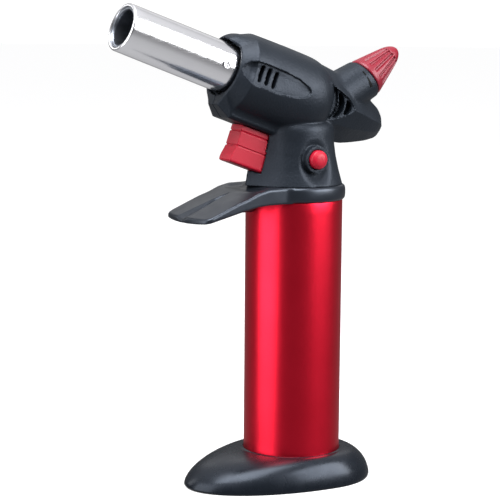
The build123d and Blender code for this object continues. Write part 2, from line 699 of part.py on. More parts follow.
def make_lock_button_spring():
    return coil_spring(BUTTON_CENTRE + Vector(0, BUTTON_DEPTH, 0), (0, 1, 0), 3.0, 0.3, 3.6, 3)


def build_all():
    """Every sub-part by its node name."""
    casing = make_casing()
    return {
        "base": make_base(),
        "tank_sleeve": make_tank_sleeve(),
        "fuel_tank": make_fuel_tank(),
        "tank_cap": make_tank_cap(),
        "tank_seal": make_tank_seal(),
        "refill_valve_body": make_refill_valve_body(),
        "refill_valve_stem": make_refill_valve_stem(),
        "refill_valve_seal": make_refill_valve_seal(),
        "refill_valve_spring": make_refill_valve_spring(),
        "outlet_valve_body": make_outlet_valve_body(),
        "outlet_valve_stem": make_outlet_valve_stem(),
        "outlet_valve_seal": make_outlet_valve_seal(),
        "outlet_valve_spring": make_outlet_valve_spring(),
        "fuel_wick": make_fuel_wick(),
        "valve_lever": make_valve_lever(),
        "lever_pin": make_lever_pin(),
        "finger_guard": make_finger_guard(),
        "casing_left": half_of(casing, -1),
        "casing_right": half_of(casing, 1),
        "casing_screws": make_casing_screws(),
        "burner_tube": make_burner_tube(),
        "burner_liner": make_burner_liner(),
        "flame_holder": make_flame_holder(),
        "burner_mount": make_burner_mount(),
        "gas_jet": make_gas_jet(),
        "barrel_screws": make_barrel_screws(),
        "igniter_electrode": make_igniter_electrode(),
        "electrode_insulator": make_electrode_insulator(),
        "ignition_lead": make_ignition_lead(),
        "regulator_body": make_regulator_body(),
        "regulator_seal": make_regulator_seal(),
        "needle_spindle": make_needle_spindle(),
        "gas_knob": make_gas_knob(),
        "gas_hose": make_gas_hose(),
        "jet_feed_pipe": make_jet_feed_pipe(),
        "trigger": make_trigger(),
        "trigger_spring": make_trigger_spring(),
        "piezo_body": make_piezo_body(),
        "piezo_plunger": make_piezo_plunger(),
        "lock_button": make_lock_button(),
        "lock_button_spring": make_lock_button_spring(),
    }


os.makedirs("parts", exist_ok=True)
for name, shape in build_all().items():
    export_step(shape, os.path.join("parts", name + ".step"))
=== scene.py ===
"""The looks of a butane torch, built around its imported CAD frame.

Shapes are in millimetres until they are made into meshes, which are in metres. +Z is up, the muzzle
points towards -X and y = 0 is the middle. On the head, s runs back along the barrel's axis from the
muzzle and v stands square to it, upwards. A field is a function that is negative inside a shape and
roughly the distance outside it.
"""

import json
from functools import reduce
from math import atan2, cos, pi, radians, sin

import bpy
import numpy as np
from mathutils import Matrix, Vector


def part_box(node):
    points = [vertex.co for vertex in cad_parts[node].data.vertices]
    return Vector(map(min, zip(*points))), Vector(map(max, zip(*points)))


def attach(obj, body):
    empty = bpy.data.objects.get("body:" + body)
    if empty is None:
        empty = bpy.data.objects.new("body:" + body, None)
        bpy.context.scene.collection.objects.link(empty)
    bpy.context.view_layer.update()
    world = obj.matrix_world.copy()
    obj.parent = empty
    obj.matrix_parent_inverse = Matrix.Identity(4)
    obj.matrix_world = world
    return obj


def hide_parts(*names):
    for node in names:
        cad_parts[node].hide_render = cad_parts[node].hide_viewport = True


MM = 0.001
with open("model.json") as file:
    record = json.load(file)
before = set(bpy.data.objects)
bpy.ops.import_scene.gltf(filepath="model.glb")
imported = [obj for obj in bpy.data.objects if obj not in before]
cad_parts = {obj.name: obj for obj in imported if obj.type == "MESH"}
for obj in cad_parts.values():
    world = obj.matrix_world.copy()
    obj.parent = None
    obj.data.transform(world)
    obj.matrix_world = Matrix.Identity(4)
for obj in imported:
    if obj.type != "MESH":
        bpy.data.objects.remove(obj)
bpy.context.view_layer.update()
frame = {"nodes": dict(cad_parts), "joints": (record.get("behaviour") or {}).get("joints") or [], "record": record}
joints = {joint["name"]: joint for joint in frame["joints"]}

HOUSING = "housing"

# ------------------------------------------------------------------ places read from the frame


def low_mm(node):
    """The node's lowest corner in millimetres."""
    return np.array(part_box(node)[0]) / MM


def high_mm(node):
    """The node's highest corner in millimetres."""
    return np.array(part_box(node)[1]) / MM


BACK = np.array(joints["trigger_slide"]["axis"], float)
BACK = BACK / np.linalg.norm(BACK)
UP = np.array([-BACK[2], 0.0, BACK[0]])
KNOB_OUT = np.array(joints["gas_knob_turn"]["axis"], float)
KNOB_OUT = KNOB_OUT / np.linalg.norm(KNOB_OUT)
KNOB_BASE = np.array(joints["gas_knob_turn"]["pos_m"], float) / MM
LEVER_PIVOT = np.array(joints["valve_lever_pivot"]["pos_m"], float) / MM

BARREL_R = 10.2
BARREL_REAR_R = 10.6
MUZZLE = np.array([
    low_mm("burner_tube")[0] + BARREL_R * UP[0],
    0.0,
    high_mm("burner_tube")[2] - BARREL_R * UP[2],
])
TANK_R = high_mm("tank_sleeve")[0]
SEAT_Z = low_mm("tank_sleeve")[2]
TANK_TOP = high_mm("tank_sleeve")[2]
GUARD_TOP = high_mm("finger_guard")[2]
BUTTON_LOW = low_mm("lock_button")
BUTTON_HIGH = high_mm("lock_button")
BUTTON_X = (BUTTON_LOW[0] + BUTTON_HIGH[0]) / 2
BUTTON_Z = (BUTTON_LOW[2] + BUTTON_HIGH[2]) / 2
BUTTON_FACE_Y = BUTTON_LOW[1]
BUTTON_R = (BUTTON_HIGH[0] - BUTTON_LOW[0]) / 2


# ------------------------------------------------------------------ distance fields


def blend_union(a, b, width):
    """Joins two fields with a fillet about as wide as width."""
    share = np.clip(0.5 + 0.5 * (b - a) / width, 0, 1)
    return b + (a - b) * share - width * share * (1 - share)


def blend_cut(a, b, width):
    """Takes field b out of field a with a rounded edge."""
    return -blend_union(-a, b, width)


def cut(a, b):
    """Takes field b out of field a with a sharp edge."""
    return np.maximum(a, -b)


def smooth_step(value, low, high):
    """0 at low, 1 at high, and an S-curve between."""
    share = np.clip((value - low) / (high - low), 0, 1)
    return share * share * (3 - 2 * share)


def eased(points, reach=2.0):
    """A function through (x, y) points whose corners are rounded over reach."""
    xs = np.array([p[0] for p in points], float)
    ys = np.array([p[1] for p in points], float)
    fine = np.linspace(xs[0], xs[-1], 400)
    step = fine[1] - fine[0]
    half = max(1, int(round(reach / step)))
    kernel = np.hanning(2 * half + 3)[1:-1]
    kernel = kernel / kernel.sum()
    padded = np.pad(np.interp(fine, xs, ys), half, mode="reflect", reflect_type="odd")
    smooth = np.convolve(padded, kernel, mode="valid")
    return lambda value: np.interp(value, fine, smooth)


def bar_field(x, y, z, start, end, radius):
    """A round bar with rounded ends."""
    run = np.array(end, float) - np.array(start, float)
    share = ((x - start[0]) * run[0] + (y - start[1]) * run[1] + (z - start[2]) * run[2]) / run.dot(run)
    share = np.clip(share, 0, 1)
    dx = x - start[0] - share * run[0]
    dy = y - start[1] - share * run[1]
    dz = z - start[2] - share * run[2]
    return np.sqrt(dx * dx + dy * dy + dz * dz) - radius


def in_plane(x, z, origin, axis):
    """How far a point is along an axis that lies in the middle plane, and how far across it."""
    along = (x - origin[0]) * axis[0] + (z - origin[2]) * axis[2]
    across = -(x - origin[0]) * axis[2] + (z - origin[2]) * axis[0]
    return along, across


def box_field(a, b, c, half, rounding):
    """A box with rounded edges, centred on zero."""
    qa = np.abs(a) - half[0] + rounding
    qb = np.abs(b) - half[1] + rounding
    qc = np.abs(c) - half[2] + rounding
    outside = np.sqrt(np.maximum(qa, 0) ** 2 + np.maximum(qb, 0) ** 2 + np.maximum(qc, 0) ** 2)
    return outside + np.minimum(np.maximum(qa, np.maximum(qb, qc)), 0) - rounding


def surface_net(field, low, high, cell):
    """Vertices and quads of the surface where field is zero, moved onto it exactly."""
    axes = [np.arange(low[i], high[i] + cell, cell, dtype=np.float32) for i in range(3)]
    x, y, z = np.meshgrid(*axes, indexing="ij")
    values = field(x, y, z).astype(np.float32)
    inside = values < 0
    shape = np.array(values.shape) - 1
    corners = [(i, j, k) for i in (0, 1) for j in (0, 1) for k in (0, 1)]

    def corner(array, offset):
        i, j, k = offset
        return array[i:shape[0] + i, j:shape[1] + j, k:shape[2] + k]

    count = sum(corner(inside, c).astype(np.int8) for c in corners)
    active = (count > 0) & (count < 8)
    index = np.full(active.shape, -1, np.int64)
    index[active] = np.arange(active.sum())
    total = np.zeros((active.sum(), 3))
    crossings = np.zeros(active.sum())
    at_corner = {c: corner(values, c)[active] for c in corners}
    for a in corners:
        for axis in range(3):
            if a[axis] == 1:
                continue
            b = tuple(1 if i == axis else a[i] for i in range(3))
            va = at_corner[a]
            vb = at_corner[b]
            crossed = (va < 0) != (vb < 0)
            share = np.where(crossed, va / np.where(crossed, va - vb, 1), 0)
            point = np.array(a, float)[None, :] + share[:, None] * (np.array(b) - np.array(a))[None, :]
            total += np.where(crossed[:, None], point, 0)
            crossings += crossed
    cells = np.argwhere(active)
    vertices = (cells + total / crossings[:, None]) * cell + np.array(low)[None, :]
    quads = []
    for axis in range(3):
        u = (axis + 1) % 3
        w = (axis + 2) % 3
        start = [slice(None)] * 3
        end = [slice(None)] * 3
        start[axis] = slice(0, -1)
        end[axis] = slice(1, None)
        first = inside[tuple(start)]
        second = inside[tuple(end)]
        edge = np.argwhere(first != second)
        keep = (edge[:, u] > 0) & (edge[:, w] > 0) & (edge[:, u] < shape[u]) & (edge[:, w] < shape[w])
        edge = edge[keep]
        outward = first[tuple(edge.T)]
        ring = []
        for du, dw in ((0, 0), (-1, 0), (-1, -1), (0, -1)):
            at = edge.copy()
            at[:, u] += du
            at[:, w] += dw
            ring.append(index[tuple(at.T)])
        ring = np.stack(ring, 1)
        ring[~outward] = ring[~outward][:, ::-1]
        quads.append(ring)
    quads = np.concatenate(quads)
    return settle(field, vertices, cell), quads


def settle(field, points, cell):
    """Moves points along the field's slope until they lie on the surface."""
    step = 0.2 * cell
    for _ in range(3):
        x, y, z = points.T
        value = field(x, y, z)
        slope = np.stack([
            field(x + step, y, z) - field(x - step, y, z),
            field(x, y + step, z) - field(x, y - step, z),
            field(x, y, z + step) - field(x, y, z - step),
        ], 1) / (2 * step)
        size = np.maximum((slope * slope).sum(1), 0.05)
        move = -slope * (value / size)[:, None]
        length = np.maximum(np.linalg.norm(move, axis=1), 1e-9)
        points = points + move * np.minimum(1, 0.35 * cell / length)[:, None]
    return points


# ------------------------------------------------------------------ making objects


def make_piece(name, vertices, faces, body, material, smooth_angle=40, replaces=()):
    """A mesh object from vertices in millimetres, riding on a body."""
    mesh = bpy.data.meshes.new(name)
    mesh.from_pydata((np.asarray(vertices) * MM).tolist(), [], [list(map(int, f)) for f in faces])
    mesh.validate()
    mesh.update()
    mesh.shade_smooth()
    mesh.set_sharp_from_angle(angle=radians(smooth_angle))
    mesh.materials.append(material)
    piece = bpy.data.objects.new(name, mesh)
    bpy.context.scene.collection.objects.link(piece)
    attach(piece, body)
    if replaces:
        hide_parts(*replaces)


def end_caps(ring_count, segments):
    """The faces that close the first and the last ring."""
    last = (ring_count - 1) * segments
    return [tuple(range(segments - 1, -1, -1)), tuple(range(last, last + segments))]


def ring_faces(ring_count, segments, closed_loop):
    """Quads between neighbouring rings, and a loop back to the first ring where the section is closed."""
    faces = []
    spans = ring_count if closed_loop else ring_count - 1
    for ring in range(spans):
        following = (ring + 1) % ring_count
        for index in range(segments):
            beside = (index + 1) % segments
            faces.append((
                ring * segments + index, ring * segments + beside,
                following * segments + beside, following * segments + index,
            ))
    return faces


def turned_rings(profile, origin, axis, segments):
    """Rings about an axis through origin from (distance along, radius) points."""
    axis = np.array(axis, float)
    side = np.cross(axis, (0.0, 1.0, 0.0))
    if np.linalg.norm(side) < 0.1:
        side = np.array((1.0, 0.0, 0.0))
    side = side / np.linalg.norm(side)
    other = np.cross(axis, side)
    rings = []
    for along, radius in profile:
        for index in range(segments):
            turn = 2 * pi * index / segments
            spoke = side * cos(turn) + other * sin(turn)
            rings.append(np.array(origin) + axis * along + spoke * radius)
    return np.array(rings)


def corner_arc(centre, radius, start, end, steps):
    """Points of an arc in the (along, radius) plane, angles in degrees."""
    return [
        (centre[0] + radius * cos(radians(start + (end - start) * i / steps)),
         centre[1] + radius * sin(radians(start + (end - start) * i / steps)))
        for i in range(steps + 1)
    ]


# ------------------------------------------------------------------ materials


def new_material(name):
    """A material with its node tree, its shader and the object's own coordinates."""
    material = bpy.data.materials.new(name)
    material.use_nodes = True
    tree = material.node_tree
    shader = tree.nodes["Principled BSDF"]
    place = tree.nodes.new("ShaderNodeTexCoord")
    return material, tree, shader, place.outputs["Object"]


def noise(tree, place, scale, detail=3.0, roughness=0.5):
    """A cloudy pattern with this many features a metre."""
    node = tree.nodes.new("ShaderNodeTexNoise")
    node.inputs["Scale"].default_value = scale
    node.inputs["Detail"].default_value = detail
    node.inputs["Roughness"].default_value = roughness
    tree.links.new(place, node.inputs["Vector"])
    return node.outputs["Fac"]


def between(tree, value, low, high, from_low=0.3, from_high=0.7):
    """The value's range stretched to run from low to high."""
    node = tree.nodes.new("ShaderNodeMapRange")
    node.inputs["From Min"].default_value = from_low
    node.inputs["From Max"].default_value = from_high
    node.inputs["To Min"].default_value = low
    node.inputs["To Max"].default_value = high
    tree.links.new(value, node.inputs["Value"])
    return node.outputs["Result"]


def two_colours(tree, value, first, second):
    """A mix of two colours."""
    node = tree.nodes.new("ShaderNodeMix")
    node.data_type = "RGBA"
    node.inputs["A"].default_value = (*first, 1)
    node.inputs["B"].default_value = (*second, 1)
    tree.links.new(value, node.inputs["Factor"])
    return node.outputs["Result"]


def bump(tree, shader, height, strength, distance):
    """Fine relief, distance in metres."""
    node = tree.nodes.new("ShaderNodeBump")
    node.inputs["Strength"].default_value = strength
    node.inputs["Distance"].default_value = distance
    tree.links.new(height, node.inputs["Height"])
    tree.links.new(node.outputs["Normal"], shader.inputs["Normal"])


def stretched(tree, place, scale, tilt):
    """Coordinates turned by tilt and scaled apart along each axis."""
    node = tree.nodes.new("ShaderNodeMapping")
    node.inputs["Scale"].default_value = scale
    node.inputs["Rotation"].default_value = tilt
    tree.links.new(place, node.inputs["Vector"])
    return node.outputs["Vector"]


def moulded_plastic(name, colour, paler, rough, grain, grain_height, gloss=0.5, sheen_tint=(1, 1, 1)):
    """A moulded surface: fine spark texture, slight shine changes and a little colour drift."""
    material, tree, shader, place = new_material(name)
    drift = noise(tree, place, 45, 4)
    tree.links.new(two_colours(tree, between(tree, drift, 0, 1), colour, paler), shader.inputs["Base Color"])
    shine = noise(tree, place, 160, 5)
    tree.links.new(between(tree, shine, rough - 0.04, rough + 0.05), shader.inputs["Roughness"])
    shader.inputs["IOR"].default_value = 1.5
    shader.inputs["Specular Tint"].default_value = (*sheen_tint, 1)
    shader.inputs["Specular IOR Level"].default_value = gloss
    bump(tree, shader, noise(tree, place, grain, 2), 0.35, grain_height)
    return material


def metal(name, colour, darker, rough, stretch, tilt=(0, 0, 0), height=0.00001):
    """A metal with fine lines or blasting left by its finish."""
    material, tree, shader, place = new_material(name)
    lines = stretched(tree, place, stretch, tilt)
    streak = noise(tree, lines, 1.0, 4, 0.6)
    patch = noise(tree, place, 60, 3)
    tree.links.new(two_colours(tree, between(tree, patch, 0, 1), colour, darker), shader.inputs["Base Color"])
    tree.links.new(between(tree, streak, rough * 0.85, rough * 1.2), shader.inputs["Roughness"])
    shader.inputs["Metallic"].default_value = 1
    bump(tree, shader, streak, 0.2, height)
    return material


COOL_SHEEN = (0.72, 0.82, 1.0)
TRIGGER_SHEEN = (1, 0.8, 0.85)
KNOB_SHEEN = (1, 0.85, 0.92)
BARREL_TILT = atan2(-BACK[2], BACK[0])

# Name, two colours, roughness, scale and height of the grain, then the shine's strength and tint.
PLASTICS = (
    (
        "casing_plastic", (0.0045, 0.0065, 0.0095), (0.0065, 0.0085, 0.012), 0.45, 1100, 0.0003, 0.27,
        COOL_SHEEN,
    ),
    ("guard_plastic", (0.006, 0.008, 0.011), (0.008, 0.0095, 0.013), 0.32, 2400, 0.00002, 0.5, COOL_SHEEN),
    ("base_plastic", (0.004, 0.0055, 0.008), (0.0055, 0.007, 0.010), 0.27, 2400, 0.00002, 0.3, COOL_SHEEN),
    ("mark_black", (0.001, 0.001, 0.001), (0.002, 0.002, 0.002), 0.6, 2400, 0.00001, 0.1),
    ("red_plastic", (0.30, 0.004, 0.016), (0.33, 0.006, 0.02), 0.4, 2800, 0.00003, 0.3, TRIGGER_SHEEN),
    # The knob's red is a darker copy of the trigger's red: painted shade, which offsets the top light that falls
    # on the knob more than on the trigger.
    ("knob_red_shaded", (0.15, 0.004, 0.013), (0.17, 0.006, 0.016), 0.36, 2800, 0.00002, 0.42, KNOB_SHEEN),
    ("rubber_black", (0.02, 0.02, 0.02), (0.03, 0.03, 0.03), 0.6, 1500, 0.00003),
    ("lead_rubber", (0.3, 0.02, 0.02), (0.36, 0.03, 0.03), 0.5, 1500, 0.00002),
    ("burner_ceramic", (0.42, 0.38, 0.33), (0.3, 0.26, 0.22), 0.75, 1800, 0.00004),
    ("wick_fibre", (0.7, 0.68, 0.62), (0.6, 0.58, 0.52), 0.85, 1200, 0.0001),
    ("piezo_plastic", (0.4, 0.41, 0.43), (0.46, 0.47, 0.49), 0.4, 2000, 0.00002),
)
# Name, two colours, roughness, scale of the lines along each axis, then their tilt and height.
METALS = (
    ("red_anodised", (0.83, 0.018, 0.045), (0.78, 0.016, 0.04), 0.32, (5200, 5200, 3600)),
    (
        "polished_steel", (0.86, 0.86, 0.88), (0.82, 0.82, 0.85), 0.18, (60, 1800, 1800),
        (0, BARREL_TILT, 0), 0.000004,
    ),
    ("liner_steel", (0.26, 0.28, 0.32), (0.14, 0.15, 0.17), 0.34, (80, 1500, 1500)),
    ("screw_steel", (0.5, 0.5, 0.52), (0.36, 0.36, 0.38), 0.28, (2500, 2500, 2500)),
    ("spring_steel", (0.6, 0.6, 0.62), (0.5, 0.5, 0.52), 0.25, (2500, 2500, 2500)),
    ("tank_aluminium", (0.75, 0.76, 0.78), (0.68, 0.69, 0.71), 0.35, (1500, 1500, 200)),
    ("brass_part", (0.75, 0.55, 0.24), (0.68, 0.48, 0.2), 0.28, (1500, 1500, 1500)),
)
MATERIALS = {row[0]: moulded_plastic(*row) for row in PLASTICS}
MATERIALS.update({row[0]: metal(*row) for row in METALS})

for entry in frame["record"]["subparts"]:
    node = frame["nodes"][entry["node"]]
    node.data.materials.clear()
    node.data.materials.append(MATERIALS[entry["material_slot"]])

# ------------------------------------------------------------------ casing

HEAD_R = 18.2
HEAD_TAPER = 0.55
HEAD_TAPER_LENGTH = 28.5
HEAD_END_S = 86.0
HEAD_END_LENGTH = 17.5
DOME_POWER = 2.6
NOSE_S = 51.3
NOSE_BORE_R = 11.9
NOSE_BORE_END_S = 68
BROW_LENGTH = 4.3
DISH_FRONT_S = 52.2
DISH_REAR_S = 85.0
DISH_SHALLOWEST = 0.4
DISH_DEPTH = 1.9
SLOTS = ((60.2, 1.1), (63.7, 0.8), (67.2, 0.5))
SLOT_R = 0.85
SLOT_HALF = 2.9
SLOT_LEAN = 0.1
KEEL_FRONT_S = 51.3
KEEL_LOW_V = -19.8
TAIL_FRONT_S = 84
TAIL_SHOULDER_END_S = 118
TAIL_END_S = 137.6
VENT_FRONT_S = 96.5
VENT_TIP_S = 113.3
VENT_CENTRE = (92.7, 1.2)
VENT_STEP = 1.2
# For each curved slot: its inner radius, the turn of its middle and half its spread, in radians.
CRESCENTS = ((11.8, 0.035, 0.47), (15.4, 0.045, 0.2))
CRESCENT_WIDTH = 2.7
NECK_SHOULDER_Z = 157.0
NECK_FLOOR_Z = 132.1
NECK_FLOOR_BORE_R = 15.5
BOSS_R = 9.3
BOSS_FLARE = 0.06
BOSS_TILT = radians(26.5)
BOSS_OUT = np.array([cos(BOSS_TILT), 0.0, sin(BOSS_TILT)])
BOSS_BORE_R = 5.8
BOSS_BORE_DEPTH = 8
BOSS_LENGTH = 20
WALL = 2.2
SLOT_WALL = 3.3
VENT_WALL = 4.2
SEAM_GAP = 0.06
TRIGGER_ROOM_CENTRE = (76, -28.3)
TRIGGER_ROOM_HALF = (16.2, 8.45, 5.1)
# For each screw: s and v of its axis, and how far its head is from the middle plane.
SCREW_PLACES = ((57.0, -14.6, 5.6), (88.0, 12.6, 10.6), (121.0, 0.5, 7.4))
SCREW_HEAD_R = 2.45
SCREW_HEAD_HEIGHT = 1.65
SCREW_R = 1.15
SCREW_DEPTHS = {-1: 4.7, 1: 11}
POST_R = 2.7
POST_GAP = 0.4
PIN_POST_R = 2.3
PIN_POST_START = 7.4
PIN_POST_END = 20
PIN_POST_FACE = 5.1
PIN_BORE_R = 1.05
PIN_BORE_HALF = 8.7
BUTTON_HOLLOW_R = 12.6
BUTTON_HOLLOW_Y = -27.4
BUTTON_RING_R = 5.0
BUTTON_RING_HALF = 0.75
BUTTON_RING_Y = (-18.9, -13)
BUTTON_BORE_R = 4.35
BUTTON_BORE_END_Y = -12.4
BUTTON_STEM_BORE_R = 2.4
BUTTON_STEM_BORE_END_Y = -8
CASING_CELL = 0.4
CASING_MARGIN = 0.8

# Outlines of the head: (s, radius) for the nose, and (s, v) for what is drawn on its sides.
nose_facet = eased([(44, 6.7), (51.3, 12.9), (56.8, 17.6), (64, 23.7)], 0.2)
nose_brow = eased([
    (44, 9.6), (47.1, 12.3), (48.6, 13.8), (50.3, 14.9), (52.1, 15.5), (54.1, 15.9), (59.6, 18.2), (64, 20),
], 0.8)
dish_top = eased([
    (52.2, 0.8), (52.5, 2.3), (54.1, 4.1), (56.9, 5.4), (62.4, 5.8), (72.8, 5.4), (78.2, 4.7), (81.0, 3.9),
    (83.4, 2.9), (84.7, 2.1), (85.0, 1.3),
], 0.5)
dish_low = eased([
    (52.2, 0.3), (53.5, -2.0), (56.0, -4.0), (58.2, -4.4), (68.4, -4.3), (75.8, -3.6), (80.5, -2.4),
    (82.8, -1.5), (84.4, -0.3), (85.0, 1.0),
], 0.5)
vent_top = eased([(96.5, 9.3), (102.8, 7.8), (108.1, 6.0), (113.3, 2.2), (114.5, 1.3)], 0.8)
vent_low = eased([(96.5, -6.9), (102.1, -5.2), (106.6, -3.0), (110.4, 0.0), (113.3, 2.2), (114.5, 3.1)], 0.8)

# Outlines of the tail: (s, v) from the side, and (s, half width) from above.
tail_top = eased([
    (88, 18.0), (104.6, 16.7), (118, 13.6), (127.3, 10.9), (132.1, 9.0), (135.5, 6.2), (137.6, 2.4),
], 1.5)
tail_low = eased([
    (88, -16), (102, -15), (115.9, -12.1), (121.4, -10.1), (128.9, -7), (134.4, -4.0), (136.6, -1.6),
    (137.6, 1.6),
], 1.5)
tail_crease = eased([
    (84, 9.9), (97, 9.3), (102.8, 7.8), (108.1, 6.0), (113.3, 2.3), (120, 2.3), (137.6, 2.0),
], 0.8)
tail_width = eased([
    (84, 12.4), (92, 13.0), (98, 14.2), (105, 14.2), (112, 13.2), (118, 11.5), (127, 8.3), (132, 5.9),
    (137.6, 0.9),
], 2)
tail_shoulder = eased([(84, 5.0), (90, 9.0), (97, 12.0), (105, 13.0), (113, 13.0), (118, 11.5)], 1.5)

# Outlines of the neck: (z, radius) of its column, and (z, reach) of the ridge in front.
neck_radius = eased([
    (126, 21.9), (GUARD_TOP, 20.8), (132, 20.1), (136, 19.0), (142, 17.7), (148, 16.9), (158, 16.4),
], 1.5)
neck_front = eased([
    (126, 25.2), (GUARD_TOP, 24.9), (132, 24.6), (135.5, 24.0), (140, 22.5), (152, 18.8), (158, 17.6),
], 1.5)


def brow_share(v, r):
    """1 on top of the head, where the nose runs on into the brow, and 0 on its sides."""
    return smooth_step(v / r, 0.74, 0.99)


def head_field(s, v, y):
    """The round body with a domed back, and a steep facet round the nose that runs on into a brow on top."""
    r = np.sqrt(v * v + y * y) + 1e-6
    ahead = np.clip(HEAD_END_S - s, 0, 40) / HEAD_TAPER_LENGTH
    body = r - (HEAD_R - HEAD_TAPER * ahead ** 2)
    past = np.maximum(s - HEAD_END_S, 0) / HEAD_END_LENGTH
    dome = ((past ** DOME_POWER + (r / HEAD_R) ** DOME_POWER) ** (1 / DOME_POWER) - 1) * HEAD_R
    d = np.where(s > HEAD_END_S, dome, body)
    brow = brow_share(v, r)
    nose = (r - nose_facet(s) * (1 - brow) - nose_brow(s) * brow) * 0.76
    d = np.maximum(d, nose)
    edge = np.maximum(v - dish_top(s), dish_low(s) - v)
    edge = np.maximum(edge, np.maximum(DISH_FRONT_S - s, s - DISH_REAR_S))
    edge = np.maximum(edge, 6 - np.abs(y))
    return cut(d, np.maximum(edge * 0.8, -d - dish_depth(s, v)))


def dish_depth(s, v):
    """How deep the long teardrop hollow on each side is: steep at its top edge, easy from its lower one."""
    height = np.maximum(dish_top(s) - dish_low(s), 0.3)
    share = np.clip((v - dish_low(s)) / height, 0, 1)
    across = smooth_step(share, -0.15, 0.6) * (1 - 0.35 * smooth_step(share, 0.7, 1.0))
    along = smooth_step(s, 51.0, 57.0) * (1 - 0.75 * smooth_step(s, 58, 85))
    return DISH_SHALLOWEST + DISH_DEPTH * along * across


def keel_field(s, v, y):
    """The box under the head, with a flat front, a bevel under the chin and one on each side."""
    y = np.abs(y)
    side = (y - 7.3) + 0.10 * (v + 14)
    floor = KEEL_LOW_V - v
    front = KEEL_FRONT_S - s
    chin = -0.566 * (s - KEEL_FRONT_S) - 0.825 * (v + 15.9)
    cheek = -0.620 * (s - KEEL_FRONT_S) + 0.695 * (y - 3.7) - 0.362 * (v + 16)
    lower_edge = (y - 6.6) * 0.7 - (v + 19.7) * 0.7
    top = v + 4
    rear = s - 100
    return reduce(np.maximum, (side, floor, front, chin, cheek, lower_edge, top, rear))


def neck_field(x, y, z):
    """The flared column with a blunt ridge in front and a rounded shoulder."""
    radius = neck_radius(z)
    front = neck_front(z)
    r = np.sqrt(x * x + y * y)
    lean = np.clip(radius / np.maximum(front, radius + 0.2), 0, 1)
    across = np.sqrt(1 - lean * lean)
    wedge = -x * lean + np.abs(y) * across - radius
    ahead = -x * across - np.abs(y) * lean > 0
    d = np.where((x < 0) & (np.abs(y) < radius * across), wedge, r - radius)
    d = np.where(ahead | (np.abs(y) < radius * across), d, r - radius)
    d = -blend_union(-d, NECK_SHOULDER_Z - z, 5.0)
    return np.maximum(d, GUARD_TOP - z)


def tail_field(s, v, y):
    """The faceted wedge behind the head, with a vent hollow on each side."""
    y = np.abs(y)
    width = tail_width(s)
    shoulder = np.where(s < TAIL_SHOULDER_END_S, tail_shoulder(s), width)
    crease = tail_crease(s)
    rise = (v - crease) / (tail_top(s) - crease)
    upper = -blend_union(-(y / shoulder + 0.8 * rise - 1), -(rise - 1), 0.2) * np.maximum(shoulder, 1.5)
    waist = tail_crease(np.maximum(s, VENT_TIP_S))
    drop = np.maximum((waist - v) / (waist - tail_low(s)), 0)
    across = y / width
    lower = np.maximum(across + 0.38 * drop - 1, (across + 0.956 * drop - 1.306) * 0.9)
    lower = np.maximum(lower, (drop - 1) * 0.8) * np.maximum(width, 1.5)
    d = np.where(v > crease, upper, lower) * 0.75
    d = -blend_union(-d, TAIL_END_S - s, 2.5)
    d = np.maximum(d, TAIL_FRONT_S - s)
    return cut(d, vent_field(s, v, y))


def from_vent_centre(s, v):
    """The distance and the turn of a point from the centre of the curved slots."""
    ds = s - VENT_CENTRE[0]
    dv = v - VENT_CENTRE[1]
    return np.sqrt(ds ** 2 + dv ** 2), np.arctan2(dv, ds)


def vent_field(s, v, y):
    """The three-sided hollow behind the domed end, flush with the side at its rear point."""
    sides = np.maximum(v - vent_top(s), vent_low(s) - v) * 0.88
    floor = (12.9 - (113 - s) * 0.2) - y
    distance, _ = from_vent_centre(s, v)
    floor = floor - VENT_STEP * ((distance > 9.2) & (distance < 11.3))
    return np.maximum(np.maximum(sides, floor), VENT_FRONT_S - s)


def crescents(s, v, y):
    """The two curved slots behind the head on each side."""
    distance, turn = from_vent_centre(s, v)
    slots = np.full_like(turn, 20)
    for inner, middle, reach in CRESCENTS:
        share = np.abs(turn - middle) / reach
        outer = inner + CRESCENT_WIDTH * np.sqrt(np.clip(1 - share ** 2, 0, 1))
        slot = np.maximum(inner - distance, distance - outer)
        slots = np.minimum(slots, np.where(share > 1, 1.0, slot))
    return np.maximum(slots, 5 - np.abs(y))


def boss_field(x, y, z):
    """The boss under the gas knob. It leans a little flatter than the knob's axis."""
    top, _ = in_plane(x, z, KNOB_BASE, KNOB_OUT)
    along, across = in_plane(x, z, KNOB_BASE, BOSS_OUT)
    side = np.sqrt(across * across + y * y) - (BOSS_R - BOSS_FLARE * along)
    d = -blend_union(-side, -top, 0.8)
    return np.maximum(d, -BOSS_LENGTH - along)


def casing_outer(x, y, z):
    """The whole casing as a solid, with s and v of each point."""
    s, v = in_plane(x, z, MUZZLE, BACK)
    d = blend_union(head_field(s, v, y), keel_field(s, v, y), 2.6)
    d = blend_union(d, blend_union(tail_field(s, v, y), boss_field(x, y, z), 1.2), 0.9)
    d = blend_union(d, neck_field(x, y, z), 0.8)
    rim = NOSE_S - BROW_LENGTH * brow_share(v, np.sqrt(v * v + y * y + 1e-6)) - s
    return np.maximum(d, rim), s, v


def wall_thickness(s, v, y):
    """Thicker behind the hollows, so that their slots cut into solid plastic."""
    wall = np.where((np.abs(s - 64) < 9) & (np.abs(v) < 7), SLOT_WALL, WALL)
    return np.where((s > 97) & (s < 112) & (np.abs(v - 1.5) < 9) & (np.abs(y) > 3), VENT_WALL, wall)


def from_screw(s, v, place):
    """The distance from a screw's axis."""
    return np.sqrt((s - place[0]) ** 2 + (v - place[1]) ** 2)


def posts_field(x, y, z, s, v, side):
    """The post for the lever's pin and the posts for the screws."""
    start = LEVER_PIVOT + (0, side * PIN_POST_START, 0)
    end = LEVER_PIVOT + (0, side * PIN_POST_END, 0)
    posts = np.maximum(bar_field(x, y, z, start, end, PIN_POST_R), PIN_POST_FACE - np.abs(y))
    for place in SCREW_PLACES:
        posts = np.minimum(posts, from_screw(s, v, place) - POST_R)
    return posts


